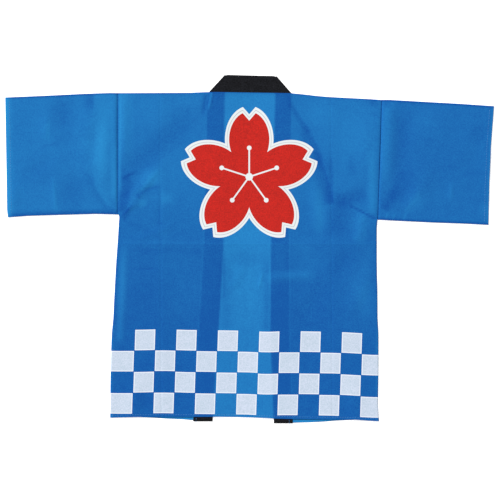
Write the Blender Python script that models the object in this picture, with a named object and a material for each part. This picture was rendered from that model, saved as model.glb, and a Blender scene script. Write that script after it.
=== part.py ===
"""Happi coat laid flat on its front, with its back uppermost.

Pieces, as they are cut and sewn: the back, two fronts, two sleeves and one collar band.
The fronts and the lower layer of each sleeve lie flat on the surface. The back lies on the
fronts and on the collar's two strips, and bends down round them at its side and shoulder seams.
Lengths are in millimetres: +X to the right, +Y towards the collar, +Z up.
"""
import math

import bmesh
import bpy

MM = 0.001

# Driving sizes
CLOTH = 1.0            # wall of one layer of cloth
BAND = 1.6             # wall of the collar band, two layers pressed together
GAP = 0.3              # between two pieces, at seams and where one lies on another
CREST_LIMIT = 4.7      # highest underside of an upper layer, so the coat stays nearly flat
ON_FRONT = CLOTH + GAP
ON_STRIP = BAND + GAP + 0.05
IN_THE_OPEN = 0.6      # underside of the back between the strips, just clear of the surface
STRIP_SLOPE = 12.0     # how far the back takes to come down beside a strip
OPEN_SLOPE = 20.0
SEAM_SLOPE = 14.0      # how far a fold takes to die away at a seam
LIP_MARGIN = CLOTH + GAP
SLEEVE_BEND = (ON_FRONT + CLOTH) / 2.0        # outer radius of a sleeve's folded edge


def table(columns, *rows):
    """Rows of numbers under named columns."""
    return [dict(zip(columns.split(), row)) for row in rows]


# Outline of the back, read as x at a height y or as y at a place x
BACK_LEFT = table(
    "y x",
    (-361.7, -297.6), (-290.0, -297.0), (-219.0, -295.6), (-116.0, -291.4), (-32.0, -286.9),
    (20.0, -283.1), (58.0, -280.8), (72.4, -279.8), (76.2, -283.1), (335.8, -283.3))
BACK_RIGHT = table(
    "y x",
    (-369.3, 275.6), (-335.0, 273.4), (-250.0, 274.6), (-95.0, 274.4), (-40.0, 272.8),
    (45.0, 272.8), (60.4, 273.9), (64.0, 274.4), (320.9, 282.8))
BACK_TOP = table(
    "x y",
    (-284.0, 335.8), (-130.0, 336.4), (-98.0, 337.9), (-82.8, 338.2), (88.2, 335.6),
    (108.6, 334.0), (143.0, 329.8), (168.8, 327.6), (211.8, 325.3), (254.8, 323.1), (283.0, 321.2))
BACK_HEM = table(
    "x y",
    (-298.0, -361.7), (-249.0, -360.4), (-182.0, -359.8), (-52.7, -358.9), (33.3, -361.1),
    (50.5, -362.8), (92.0, -364.0), (173.0, -365.3), (228.0, -365.8), (250.0, -368.0), (276.0, -369.3))
UNDERARM = table("x y", (-283.0, 75.9), (274.4, 64.0))
NECK_LEFT = -82.8
NECK_RIGHT = 88.2

# Hems of the fronts, which show a little below the back beside the collar
LEFT_HEM = table(
    "x y", (-296.5, -360.3), (-250.0, -359.2), (-209.0, -361.1), (-182.0, -362.8), (-141.0, -364.7),
    (-121.0, -366.4))
RIGHT_HEM = table(
    "x y", (92.6, -372.0), (130.0, -371.0), (162.0, -369.4), (180.0, -367.7), (229.0, -365.3),
    (250.0, -366.7), (275.0, -367.6))

# Strips of the collar: the edge sewn to the front and the free edge, at a height y
LEFT_STRIP = table(
    "y sewn free",
    (-369.0, -121.3, -79.6), (-173.6, -109.7, -66.9), (-1.6, -99.3, -56.5), (200.0, -94.0, -54.8),
    (320.9, -91.0, -53.8))
RIGHT_STRIP = table(
    "y sewn free",
    (-373.2, 92.7, 51.8), (-173.6, 84.9, 44.1), (-1.6, 84.9, 45.6), (200.0, 88.2, 51.5),
    (320.9, 89.4, 54.8))
# Where the band turns over at each side of the neck
LEFT_TURN = {"sewn": (-79.8, 339.8), "free": (-50.8, 374.2)}
RIGHT_TURN = {"sewn": (85.3, 337.3), "free": (57.6, 370.9)}

# Outline of each sleeve
LEFT_SLEEVE = {
    "armhole": BACK_LEFT,
    "cuff": table("y x", (70.2, -518.8), (84.0, -520.8), (150.0, -521.6), (250.0, -523.4), (326.4, -524.6)),
    "top": table("x y", (-524.6, 326.4), (-441.8, 329.9), (-355.8, 334.1), (-302.0, 336.1), (-283.0, 335.8)),
    "bottom": table("x y", (-518.8, 70.2), (-476.2, 73.4), (-407.4, 75.5), (-330.0, 77.6), (-283.0, 76.3)),
}
RIGHT_SLEEVE = {
    "armhole": BACK_RIGHT,
    "cuff": table(
        "y x", (53.2, 512.6), (120.0, 513.4), (160.0, 515.4), (200.0, 517.4), (250.0, 518.4), (278.0, 521.8),
        (307.8, 524.6)),
    "top": table("x y", (282.8, 321.2), (300.0, 321.3), (375.2, 317.0), (452.6, 312.7), (524.6, 307.8)),
    "bottom": table("x y", (274.0, 64.4), (306.4, 62.6), (392.4, 58.4), (461.2, 56.0), (512.6, 53.2)),
}

# Sharp creases that the grid of the back follows
LEFT_CREASE = table("y x", (-361.0, -189.8), (335.0, -192.6))
RIGHT_CREASE = table("y x", (-366.0, 177.4), (328.0, 174.2))
CROSS_CREASE = 11.5

# Folds: a ridge (rise above 0) or a trough along a line, which dies away at its far end
FOLD_COLUMNS = "x0 y0 x1 y1 half_width rise fade"
BACK_FOLDS = table(
    FOLD_COLUMNS,
    (-273.0, 330.0, -272.0, 160.0, 13.0, 2.6, 0.3),       # swell beside the left armhole seam
    (-268.0, 90.0, -236.0, 196.0, 15.0, -2.4, 0.5),       # trough up from the left underarm
    (-264.0, 92.0, -182.0, 196.0, 16.0, 3.4, 0.5),        # main ridge of the left underarm
    (-270.0, 86.0, -190.0, 136.0, 10.0, -2.0, 0.4),
    (-272.0, 84.0, -202.0, 122.0, 11.0, 2.6, 0.4),
    (-274.0, 79.0, -196.0, 66.0, 9.0, -1.4, 0.5),
    (-180.0, 132.0, -172.0, 88.0, 12.0, 1.8, 0.5),        # dimple beside the left crease
    (-84.0, 336.0, -100.0, 296.0, 7.0, 1.5, 0.5),         # small folds at the left of the neck
    (-90.0, 334.0, -112.0, 300.0, 7.0, -1.0, 0.5),
    (88.0, 330.0, 134.0, 240.0, 20.0, -2.2, 0.1),         # long trough from the neck down the right
    (134.0, 240.0, 168.0, 180.0, 20.0, -2.6, 0.1),
    (166.0, 186.0, 178.0, 96.0, 16.0, -2.6, 0.3),
    (112.0, 300.0, 150.0, 190.0, 18.0, 1.2, 0.4),
    (258.0, 280.0, 250.0, 120.0, 26.0, 1.8, 0.4),         # swell along the right armhole seam
    (266.0, 78.0, 218.0, 98.0, 8.0, 1.8, 0.4),            # creases from the right underarm
    (258.0, 62.0, 236.0, 18.0, 16.0, 2.6, 0.5),
    (238.0, 100.0, 206.0, 44.0, 16.0, -1.8, 0.4),
    (246.0, 112.0, 196.0, 118.0, 12.0, -1.6, 0.4),
    (256.0, 318.0, 276.0, 292.0, 8.0, -1.2, 0.4),         # tuck at the right shoulder
    (18.0, -44.0, 32.0, -84.0, 7.0, 1.6, 0.4),            # wrinkle between the strips
    (-260.0, -362.0, -236.0, -250.0, 34.0, 1.3, 0.5),     # waves in the hem
    (232.0, -366.0, 226.0, -262.0, 30.0, 1.2, 0.5),
    (150.0, -366.0, 140.0, -300.0, 30.0, -0.8, 0.5),
)
CREASE_FOLDS = table(
    FOLD_COLUMNS,
    (-192.0, 190.0, -189.8, -358.0, 9.0, 0.9, 0.05),
    (174.4, 322.0, 177.4, -362.0, 9.0, 0.9, 0.05),
    (-279.0, 11.5, 271.0, 11.5, 14.0, 1.3, 0.05),
    (-282.0, -38.0, -196.0, -38.0, 10.0, 0.7, 0.3),
)
LEFT_SLEEVE_FOLDS = table(
    FOLD_COLUMNS,
    (-334.0, 330.0, -364.0, 214.0, 24.0, 2.0, 0.3),       # edge of the puff beside the armhole
    (-364.0, 216.0, -292.0, 88.0, 24.0, 2.4, 0.3),
    (-322.0, 300.0, -320.0, 120.0, 30.0, 1.6, 0.3),
    (-368.0, 326.0, -388.0, 290.0, 14.0, -1.2, 0.4),
    (-440.0, 306.0, -430.0, 234.0, 20.0, 1.1, 0.4),
    (-412.0, 150.0, -414.0, 80.0, 14.0, 1.0, 0.4),
    (-512.0, 130.0, -500.0, 76.0, 22.0, 1.3, 0.4),
    (-470.0, 260.0, -450.0, 150.0, 26.0, -0.7, 0.4),
)
RIGHT_SLEEVE_FOLDS = table(
    FOLD_COLUMNS,
    (302.0, 312.0, 294.0, 140.0, 17.0, 2.8, 0.4),         # swell beside the right armhole seam
    (326.0, 290.0, 304.0, 90.0, 22.0, -1.4, 0.3),
    (378.0, 170.0, 350.0, 70.0, 24.0, 1.8, 0.4),
    (434.0, 150.0, 438.0, 90.0, 16.0, 1.0, 0.4),
    (410.0, 300.0, 400.0, 210.0, 30.0, 0.9, 0.4),
    (516.0, 210.0, 500.0, 80.0, 20.0, 0.8, 0.4),
)

# Broad swells, as rounded mounds
SWELL_COLUMNS = "x y reach_x reach_y rise"
BACK_SWELLS = table(
    SWELL_COLUMNS,
    (0.0, 180.0, 240.0, 160.0, 1.0), (-215.0, -130.0, 90.0, 220.0, 0.8), (215.0, -140.0, 70.0, 220.0, 0.9),
    (-10.0, -210.0, 70.0, 170.0, 0.7), (228.0, 200.0, 58.0, 120.0, 1.2), (-225.0, 260.0, 70.0, 80.0, 0.8))
LEFT_SLEEVE_SWELLS = table(
    SWELL_COLUMNS, (-400.0, 200.0, 130.0, 130.0, 1.1), (-330.0, 190.0, 50.0, 120.0, 0.8))
RIGHT_SLEEVE_SWELLS = table(
    SWELL_COLUMNS, (400.0, 190.0, 130.0, 130.0, 1.2), (480.0, 180.0, 60.0, 120.0, 0.5))

# Resolution of the solids
BACK_COLUMN_CELLS = (7, 4, 2, 4, 2, 4, 7)
BACK_ROW_CELLS = (13, 6, 17)
SLEEVE_LENGTH_CELLS = 13
SLEEVE_DEPTH_CELLS = 13
SLEEVE_NEAR_ARMHOLE = (0.0, 4.0, 9.0, 15.0)
SLEEVE_NEAR_FOLD = (4.0, 9.0, 15.0)
SLEEVE_MIDDLE = {"x": 400.0, "y": 200.0}      # where the search for a point of a sleeve starts
NECK_SHARES = (0.09, 0.2, 0.32, 0.44, 0.56, 0.68, 0.8, 0.91)
TURN_TILTS = (-90.0, -54.0, -18.0, 18.0, 54.0, 90.0)
NEAR_CREASE = 5.0
EDGE_INSETS = (0.0, 0.6, 1.3, 3.0)        # open edge: rows of points at these distances from it
LIP_UPPER = ((0.0, None), (0.0, 0.9), (0.45, 0.25), (3.0, 0.0))
LIP_UNDER = ((CLOTH, None), (CLOTH, 0.25), (LIP_MARGIN, 0.0), (3.0, 0.0))


# Reading the tables
def smooth(t):
    t = min(max(t, 0.0), 1.0)
    return t * t * (3.0 - 2.0 * t)


def mix(a, b, t):
    return a + (b - a) * t


def read(rows, key, value, at):
    """Value at a place between the rows, in a straight line from row to row."""
    if at <= rows[0][key]:
        return rows[0][value]
    for low, high in zip(rows, rows[1:]):
        if at <= high[key]:
            return mix(low[value], high[value], (at - low[key]) / (high[key] - low[key]))
    return rows[-1][value]


def fold_rise(folds, x, y):
    """Sum of the folds at a point: each is a rounded ridge that fades at its ends."""
    total = 0.0
    for fold in folds:
        run_x = fold["x1"] - fold["x0"]
        run_y = fold["y1"] - fold["y0"]
        length = math.hypot(run_x, run_y)
        along = ((x - fold["x0"]) * run_x + (y - fold["y0"]) * run_y) / length
        off = abs((x - fold["x0"]) * run_y - (y - fold["y0"]) * run_x) / length
        if off >= fold["half_width"] or along <= -fold["half_width"] or along >= length:
            continue
        across = 0.5 + 0.5 * math.cos(math.pi * off / fold["half_width"])
        start = smooth((along + fold["half_width"]) / (2.0 * fold["half_width"]))
        end = smooth((length - along) / (length * fold["fade"]))
        total += fold["rise"] * across * start * end
    return total


def swell_rise(swells, x, y):
    total = 0.0
    for mound in swells:
        reach = math.hypot((x - mound["x"]) / mound["reach_x"], (y - mound["y"]) / mound["reach_y"])
        total += mound["rise"] * (1.0 - smooth(reach))
    return total


# Undersides of the upper layers
def support(x, y):
    """Lowest underside of the back that clears the fronts and the collar strips."""
    left_sewn = read(LEFT_STRIP, "y", "sewn", y) - 1.0
    left_free = read(LEFT_STRIP, "y", "free", y) + 1.0
    right_free = read(RIGHT_STRIP, "y", "free", y) - 1.0
    right_sewn = read(RIGHT_STRIP, "y", "sewn", y) + 1.0
    if x < left_sewn:
        return mix(ON_STRIP, ON_FRONT, smooth((left_sewn - x) / STRIP_SLOPE))
    if x > right_sewn:
        return mix(ON_STRIP, ON_FRONT, smooth((x - right_sewn) / STRIP_SLOPE))
    if left_free < x < right_free:
        clear = min(x - left_free, right_free - x)
        return mix(ON_STRIP, IN_THE_OPEN, smooth(clear / OPEN_SLOPE))
    return ON_STRIP


def back_underside(x, y):
    base = support(x, y)
    to_side = min(x - read(BACK_LEFT, "y", "x", y), read(BACK_RIGHT, "y", "x", y) - x)
    to_top = read(BACK_TOP, "x", "y", x) - y
    fade = smooth(to_side / SEAM_SLOPE) * smooth(to_top / SEAM_SLOPE)
    rise = fold_rise(BACK_FOLDS, x, y) + fold_rise(CREASE_FOLDS, x, y) + swell_rise(BACK_SWELLS, x, y)
    return min(base + max(rise, 0.0) * fade, CREST_LIMIT)


def sleeve_underside(sleeve, folds, swells, x, y):
    to_armhole = abs(x - read(sleeve["armhole"], "y", "x", y))
    to_edge = min(read(sleeve["top"], "x", "y", x) - y, y - read(sleeve["bottom"], "x", "y", x))
    fade = smooth(to_armhole / SEAM_SLOPE) * smooth(to_edge / SEAM_SLOPE)
    rise = fold_rise(folds, x, y) + swell_rise(swells, x, y)
    return min(ON_FRONT + max(rise, 0.0) * fade, CREST_LIMIT)


# Making meshes
def finish(name, bm, material):
    """Close the piece, turn its faces outwards and add it to the scene."""
    bmesh.ops.recalc_face_normals(bm, faces=bm.faces)
    mesh = bpy.data.meshes.new(name)
    bm.to_mesh(mesh)
    bm.free()
    mesh.materials.append(material)
    for face in mesh.polygons:
        face.use_smooth = True
    mesh.set_sharp_from_angle(angle=math.radians(35.0))
    piece = bpy.data.objects.new(name, mesh)
    bpy.context.scene.collection.objects.link(piece)
    return piece


def point(bm, x, y, z):
    return bm.verts.new((x * MM, y * MM, z * MM))


def skin(bm, rows, flip=False):
    """Faces over a grid of points."""
    for low, high in zip(rows, rows[1:]):
        for k in range(len(low) - 1):
            corners = [low[k], low[k + 1], high[k + 1], high[k]]
            bm.faces.new(corners[::-1] if flip else corners)


def rim(rows):
    """The points round the edge of a grid, in order."""
    right = [row[-1] for row in rows[1:-1]]
    left = [row[0] for row in rows[1:-1]]
    return rows[0] + right + rows[-1][::-1] + left[::-1]


def wall(bm, upper, under):
    """A wall between two grids of points, closed round its rim."""
    skin(bm, upper)
    skin(bm, under, flip=True)
    top, low = rim(upper), rim(under)
    for k in range(len(top)):
        n = (k + 1) % len(top)
        bm.faces.new([low[k], low[n], top[n], top[k]])


def plate(name, outline, thickness, material):
    """A flat panel on the surface, from its outline."""
    bm = bmesh.new()
    low = [point(bm, x, y, 0.0) for x, y in outline]
    top = [point(bm, x, y, thickness) for x, y in outline]
    bm.faces.new(low[::-1])
    bm.faces.new(top)
    for k in range(len(low)):
        n = (k + 1) % len(low)
        bm.faces.new([low[k], low[n], top[n], top[k]])
    bmesh.ops.triangulate(bm, faces=[face for face in bm.faces if len(face.verts) > 4])
    return finish(name, bm, material)


def stops(start, end, cells, near_start=NEAR_CREASE, near_end=NEAR_CREASE):
    """Places from start up to but not including end, with a closer one by each crease."""
    first, last = start + near_start, end - near_end
    between = [mix(first, last, k / (cells - 2)) for k in range(cells - 1)]
    return [start] + between


# The back
def back_columns(y):
    """Places across the back at a height, which follow its creases and the strips under it."""
    lines = [
        read(BACK_LEFT, "y", "x", y), read(LEFT_CREASE, "y", "x", y), read(LEFT_STRIP, "y", "sewn", y) - 1.0,
        read(LEFT_STRIP, "y", "free", y) + 1.0, read(RIGHT_STRIP, "y", "free", y) - 1.0,
        read(RIGHT_STRIP, "y", "sewn", y) + 1.0, read(RIGHT_CREASE, "y", "x", y), read(BACK_RIGHT, "y", "x", y)]
    reach = EDGE_INSETS[-1]
    places = [lines[0] + inset for inset in EDGE_INSETS[:-1]]
    for k, cells in enumerate(BACK_COLUMN_CELLS):
        start = lines[k] + (reach if k == 0 else 0.0)
        end = lines[k + 1] - (reach if k == len(BACK_COLUMN_CELLS) - 1 else 0.0)
        if cells > 2:
            places += stops(start, end, cells + 1)
        else:
            places += [mix(start, end, step / cells) for step in range(cells)]
    return places + [lines[-1] - inset for inset in EDGE_INSETS[::-1]]


def back_rows(x):
    """Places up the back, from its hem to its top edge."""
    lines = [read(BACK_HEM, "x", "y", x), CROSS_CREASE, read(UNDERARM, "x", "y", x), read(BACK_TOP, "x", "y", x)]
    underarm_step = 3.6
    places = stops(lines[0], lines[1], BACK_ROW_CELLS[0] + 1)
    places += stops(lines[1], lines[2] - underarm_step, BACK_ROW_CELLS[1], near_end=NEAR_CREASE)
    places += [lines[2] - underarm_step]
    places += stops(lines[2], lines[3] - EDGE_INSETS[-1], BACK_ROW_CELLS[2] + 1, near_start=NEAR_CREASE)
    return places + [lines[3] - inset for inset in EDGE_INSETS[::-1]]


def side_lip(x, y):
    """1 where the edge is a side seam, 0 where it is an armhole."""
    return 1.0 if y < read(UNDERARM, "x", "y", x) - 1.0 else 0.0


def shoulder_lip(x):
    """1 along the shoulders, 0 across the neck, where the collar is sewn on."""
    beyond = max(LEFT_STRIP[-1]["sewn"] - 1.0 - x, x - RIGHT_STRIP[-1]["sewn"] - 1.0)
    return smooth(beyond / NEAR_CREASE)


def lip_shape(step, lip, table_of_lip, height):
    """How far in from the edge, and how high, a point of the edge lies."""
    inset, drop = table_of_lip[step]
    lowered = 0.0 if drop is None else height - drop
    return mix(EDGE_INSETS[step], inset, lip), mix(height, lowered, lip)


def back_point(i, j, upper):
    """Place of one point of the back's upper or under side."""
    x, y = 0.0, 0.0
    for _ in range(3):
        columns = back_columns(y)
        x = columns[i]
        rows = back_rows(x)
        y = rows[j]
    height = back_underside(x, y) + (CLOTH if upper else 0.0)
    shape = LIP_UPPER if upper else LIP_UNDER
    edge = len(EDGE_INSETS)
    from_left, from_right, from_top = i, len(columns) - 1 - i, len(rows) - 1 - j
    z = height
    if from_top < edge:
        inset, z = lip_shape(from_top, shoulder_lip(x), shape, height)
        y = read(BACK_TOP, "x", "y", x) - inset
    elif from_left < edge:
        inset, z = lip_shape(from_left, side_lip(x, y), shape, height)
        x = read(BACK_LEFT, "y", "x", y) + inset
    elif from_right < edge:
        inset, z = lip_shape(from_right, side_lip(x, y), shape, height)
        x = read(BACK_RIGHT, "y", "x", y) - inset
    return x, y, z


def make_back(material):
    bm = bmesh.new()
    columns, rows = len(back_columns(0.0)), len(back_rows(0.0))
    upper = [[point(bm, *back_point(i, j, True)) for i in range(columns)] for j in range(rows)]
    under = [[point(bm, *back_point(i, j, False)) for i in range(columns)] for j in range(rows)]
    wall(bm, upper, under)
    return finish("back", bm, material)


# The fronts
def front_outline(side, strip, hem, direction):
    """Outline of a front: hem, sewn edge by the collar, shoulder, armhole and side seam."""
    underarm = UNDERARM[0 if direction < 0 else 1]["y"]
    edge_of_strip = [(row["sewn"] + direction * GAP, row["y"]) for row in strip]
    turn = LEFT_TURN if direction < 0 else RIGHT_TURN
    outline = [(row["x"] - direction * (LIP_MARGIN if abs(row["x"]) > 270.0 else 0.0), row["y"]) for row in hem]
    if direction > 0:
        outline = outline[::-1]
    hem_corner = outline[-1][1]
    outline[-1] = (read(strip, "y", "sewn", hem_corner) + direction * GAP, hem_corner)
    outline += [spot for spot in edge_of_strip if hem_corner + 5.0 < spot[1]]
    neck = NECK_LEFT if direction < 0 else NECK_RIGHT
    corner_y = read(BACK_TOP, "x", "y", neck) - LIP_MARGIN
    last_x, last_y = edge_of_strip[-1]
    toward = (corner_y - last_y) / (turn["sewn"][1] - last_y)
    outline.append((mix(last_x, turn["sewn"][0] + direction * GAP, toward) + direction * 0.1, corner_y))
    shoulder = [row for row in BACK_TOP if abs(row["x"]) < 280.0 and row["x"] * direction > abs(neck) + 2.0]
    shoulder.sort(key=lambda row: abs(row["x"]))
    outline += [(row["x"], row["y"] - LIP_MARGIN) for row in shoulder]
    top_y = read(BACK_TOP, "x", "y", direction * 283.0) - LIP_MARGIN
    outline.append((read(side, "y", "x", top_y), top_y))
    outline.append((read(side, "y", "x", underarm + 3.0), underarm + 3.0))
    lower = sorted((row["y"] for row in side if -355.0 < row["y"] < underarm - 8.0), reverse=True)
    lower = [underarm + 0.3, underarm - 3.6] + lower
    outline += [(read(side, "y", "x", y) - direction * LIP_MARGIN, y) for y in lower]
    return outline


# The collar band
def strip_sections(strip):
    """Flat sections of a strip, from its lower end up: sewn edge, free edge, height, tilt."""
    sections = []
    for low, high in zip(strip, strip[1:]):
        for step in range(3):
            y = mix(low["y"], high["y"], step / 3.0)
            sections.append(((read(strip, "y", "sewn", y), y), (read(strip, "y", "free", y), y), BAND / 2.0, -90.0))
    last = strip[-1]
    sections.append(((last["sewn"], last["y"]), (last["free"], last["y"]), BAND / 2.0, -90.0))
    return sections


def turn_sections(turn, away):
    """The rounded bend where the band turns over, from the strip below to the neck above."""
    bend = (BAND + GAP) / 2.0
    run_x, run_y = turn["free"][0] - turn["sewn"][0], turn["free"][1] - turn["sewn"][1]
    length = math.hypot(run_x, run_y)
    out_x, out_y = away * -run_y / length, away * run_x / length
    back_off = bend + BAND / 2.0
    sections = []
    for tilt in TURN_TILTS:
        reach = bend * math.cos(math.radians(tilt)) - back_off
        height = BAND / 2.0 + bend + bend * math.sin(math.radians(tilt))
        ends = [(x + out_x * reach, y + out_y * reach) for x, y in (turn["sewn"], turn["free"])]
        sections.append((ends[0], ends[1], height, tilt, (out_x, out_y)))
    return sections


def neck_sections(left, right):
    """Sections across the back of the neck, which sags between the strips."""
    sections = []
    for share in NECK_SHARES:
        sewn_x = mix(left["sewn"][0] + 2.0, right["sewn"][0] - 2.0, share)
        free_x = mix(left["free"][0] + 2.0, right["free"][0] - 2.0, share)
        sewn_y = read(BACK_TOP, "x", "y", sewn_x) + GAP
        free_y = mix(left["free"][1], right["free"][1], share)
        height = support(sewn_x, sewn_y) + BAND / 2.0
        sections.append(((sewn_x, sewn_y), (free_x, free_y), height, 90.0))
    return sections


def band_corners(section):
    """The four corners of a section: one face's two edges, then the other face's."""
    sewn, free, height, tilt = section[:4]
    out = section[4] if len(section) > 4 else (0.0, 0.0)
    flat = math.cos(math.radians(tilt)) * BAND / 2.0
    rise = math.sin(math.radians(tilt)) * BAND / 2.0
    return [(sewn[0] + out[0] * flat, sewn[1] + out[1] * flat, height + rise),
            (free[0] + out[0] * flat, free[1] + out[1] * flat, height + rise),
            (free[0] - out[0] * flat, free[1] - out[1] * flat, height - rise),
            (sewn[0] - out[0] * flat, sewn[1] - out[1] * flat, height - rise)]


def make_collar(material):
    bm = bmesh.new()
    sections = strip_sections(LEFT_STRIP) + turn_sections(LEFT_TURN, 1.0)
    sections += neck_sections(LEFT_TURN, RIGHT_TURN)
    sections += turn_sections(RIGHT_TURN, -1.0)[::-1] + strip_sections(RIGHT_STRIP)[::-1]
    rings = [[point(bm, *corner) for corner in band_corners(section)] for section in sections]
    for low, high in zip(rings, rings[1:]):
        for k in range(4):
            n = (k + 1) % 4
            bm.faces.new([low[k], low[n], high[n], high[k]])
    bm.faces.new(rings[0][::-1])
    bm.faces.new(rings[-1])
    return finish("collar", bm, material)


# The sleeves
def sleeve_lengthwise(sleeve, y, direction):
    """Places along the sleeve at a height y, from its armhole to its cuff."""
    start = read(sleeve["armhole"], "y", "x", y) + direction * GAP
    end = read(sleeve["cuff"], "y", "x", y)
    near = [start + direction * reach for reach in SLEEVE_NEAR_ARMHOLE]
    first = near[-1]
    last = end - direction * NEAR_CREASE
    rest = [mix(first, last, k / SLEEVE_LENGTH_CELLS) for k in range(1, SLEEVE_LENGTH_CELLS + 1)]
    return near + rest + [end]


def sleeve_depth(sleeve, x):
    """Places down the upper layer, from the shoulder fold to the underarm seam."""
    top = read(sleeve["top"], "x", "y", x)
    bottom = read(sleeve["bottom"], "x", "y", x)
    near = [SLEEVE_BEND, *SLEEVE_NEAR_FOLD]
    first, last = top - near[-1], bottom + near[-1]
    rest = [mix(first, last, k / SLEEVE_DEPTH_CELLS) for k in range(1, SLEEVE_DEPTH_CELLS)]
    return [top - reach for reach in near] + rest + [bottom + reach for reach in near[::-1]]


def sleeve_ring(sleeve, folds, swells, station, direction, inner):
    """One ring of points round the flattened tube, on its outer or inner side."""
    radius = SLEEVE_BEND - CLOTH if inner else SLEEVE_BEND
    floor = CLOTH if inner else 0.0
    lift = 0.0 if inner else CLOTH
    ring = []
    steps = len(sleeve_depth(sleeve, direction * SLEEVE_MIDDLE["x"]))
    for step in range(steps):
        x, y = direction * SLEEVE_MIDDLE["x"], SLEEVE_MIDDLE["y"]
        for _ in range(3):
            x = sleeve_lengthwise(sleeve, y, direction)[station]
            y = sleeve_depth(sleeve, x)[step]
        ring.append((x, y, sleeve_underside(sleeve, folds, swells, x, y) + lift))
    ring += bend_points(sleeve, ring[-1][0], "bottom", radius)
    ring += floor_points(sleeve, ring[-1][0], ring[0][0], floor)
    ring += bend_points(sleeve, ring[0][0], "top", radius)
    return [(sleeve_lengthwise(sleeve, y, direction)[station], y, z) for x, y, z in ring]


def bend_points(sleeve, x, edge, radius):
    """Half round at the fold along the top or the seam along the bottom."""
    line = read(sleeve[edge], "x", "y", x)
    inward = 1.0 if edge == "bottom" else -1.0
    tilts = (45.0, 0.0, -45.0) if edge == "bottom" else (-45.0, 0.0, 45.0)
    centre = line + inward * SLEEVE_BEND
    return [(x, centre - inward * radius * math.cos(math.radians(tilt)),
             SLEEVE_BEND + radius * math.sin(math.radians(tilt))) for tilt in tilts]


def floor_points(sleeve, x_bottom, x_top, floor):
    """The lower layer, flat on the surface, from the underarm seam to the shoulder fold."""
    bottom = read(sleeve["bottom"], "x", "y", x_bottom) + SLEEVE_BEND
    top = read(sleeve["top"], "x", "y", x_top) - SLEEVE_BEND
    return [(x_bottom, mix(bottom, top, share), floor) for share in (0.0, 0.35, 0.65, 1.0)]


def make_sleeve(name, sleeve, folds, swells, direction, material):
    bm = bmesh.new()
    stations = len(sleeve_lengthwise(sleeve, SLEEVE_MIDDLE["y"], direction))
    skins = []
    for inner in (False, True):
        rings = []
        for station in range(stations):
            ring = sleeve_ring(sleeve, folds, swells, station, direction, inner)
            rings.append([point(bm, *spot) for spot in ring])
        skins.append(rings)
    for rings in skins:
        for low, high in zip(rings, rings[1:]):
            for k in range(len(low)):
                n = (k + 1) % len(low)
                bm.faces.new([low[k], low[n], high[n], high[k]])
    for end in (0, -1):
        outer, inner = skins[0][end], skins[1][end]
        for k in range(len(outer)):
            n = (k + 1) % len(outer)
            bm.faces.new([outer[k], outer[n], inner[n], inner[k]])
    return finish(name, bm, material)


# Materials
def cloth(name, colour, roughness):
    material = bpy.data.materials.new(name)
    material.use_nodes = True
    shader = material.node_tree.nodes["Principled BSDF"]
    shader.inputs["Base Color"].default_value = (*colour, 1.0)
    shader.inputs["Roughness"].default_value = roughness
    shader.inputs["Metallic"].default_value = 0.0
    return material


def clear_scene():
    for item in list(bpy.data.objects):
        bpy.data.objects.remove(item, do_unlink=True)


def build():
    clear_scene()
    blue = cloth("blue_cloth", (0.015, 0.17, 0.55), 0.8)
    black = cloth("black_cloth", (0.012, 0.012, 0.014), 0.85)
    plate("front_left", front_outline(BACK_LEFT, LEFT_STRIP, LEFT_HEM, -1.0), CLOTH, blue)
    plate("front_right", front_outline(BACK_RIGHT, RIGHT_STRIP, RIGHT_HEM, 1.0), CLOTH, blue)
    make_collar(black)
    make_sleeve("sleeve_left", LEFT_SLEEVE, LEFT_SLEEVE_FOLDS, LEFT_SLEEVE_SWELLS, -1.0, blue)
    make_sleeve("sleeve_right", RIGHT_SLEEVE, RIGHT_SLEEVE_FOLDS, RIGHT_SLEEVE_SWELLS, 1.0, blue)
    make_back(blue)


build()
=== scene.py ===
# %% [markdown]
# # A happi coat laid flat, with its back uppermost
# A happi is a short, straight coat with wide sleeves, worn at summer festivals. This one is cut
# from thin non-woven cloth: a back, two fronts, two sleeves and a long black collar band.
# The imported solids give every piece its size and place. This script measures them, lays thin
# cloth over their form, and gives the cloth its folds, its print and its stitches.

# %% Load the solids and keep their box
import math

import bpy
import numpy as np
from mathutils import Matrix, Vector
from mathutils.bvhtree import BVHTree


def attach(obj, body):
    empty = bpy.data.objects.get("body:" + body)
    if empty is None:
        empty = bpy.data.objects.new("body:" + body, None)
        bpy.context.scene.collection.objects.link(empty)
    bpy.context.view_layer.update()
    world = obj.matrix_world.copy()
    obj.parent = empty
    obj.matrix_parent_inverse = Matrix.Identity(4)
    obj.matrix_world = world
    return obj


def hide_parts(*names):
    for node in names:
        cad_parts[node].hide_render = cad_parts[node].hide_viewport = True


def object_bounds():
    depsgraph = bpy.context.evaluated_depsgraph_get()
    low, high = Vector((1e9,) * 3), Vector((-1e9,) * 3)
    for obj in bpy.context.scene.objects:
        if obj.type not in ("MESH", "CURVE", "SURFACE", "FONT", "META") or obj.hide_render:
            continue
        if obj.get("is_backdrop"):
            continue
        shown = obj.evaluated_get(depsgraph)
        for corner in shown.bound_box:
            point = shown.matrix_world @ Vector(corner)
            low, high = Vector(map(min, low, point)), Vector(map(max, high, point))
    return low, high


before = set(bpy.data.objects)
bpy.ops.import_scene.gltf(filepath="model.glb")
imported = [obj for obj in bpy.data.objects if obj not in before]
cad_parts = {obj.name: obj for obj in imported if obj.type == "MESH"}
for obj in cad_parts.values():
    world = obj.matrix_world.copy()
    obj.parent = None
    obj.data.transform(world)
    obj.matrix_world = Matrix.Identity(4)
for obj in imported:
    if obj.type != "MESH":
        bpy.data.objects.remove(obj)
CAD_BOX = [list(corner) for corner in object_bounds()]
MM = 0.001
print("box of the solids, mm:", [[round(place / MM, 1) for place in corner] for corner in CAD_BOX])

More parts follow.
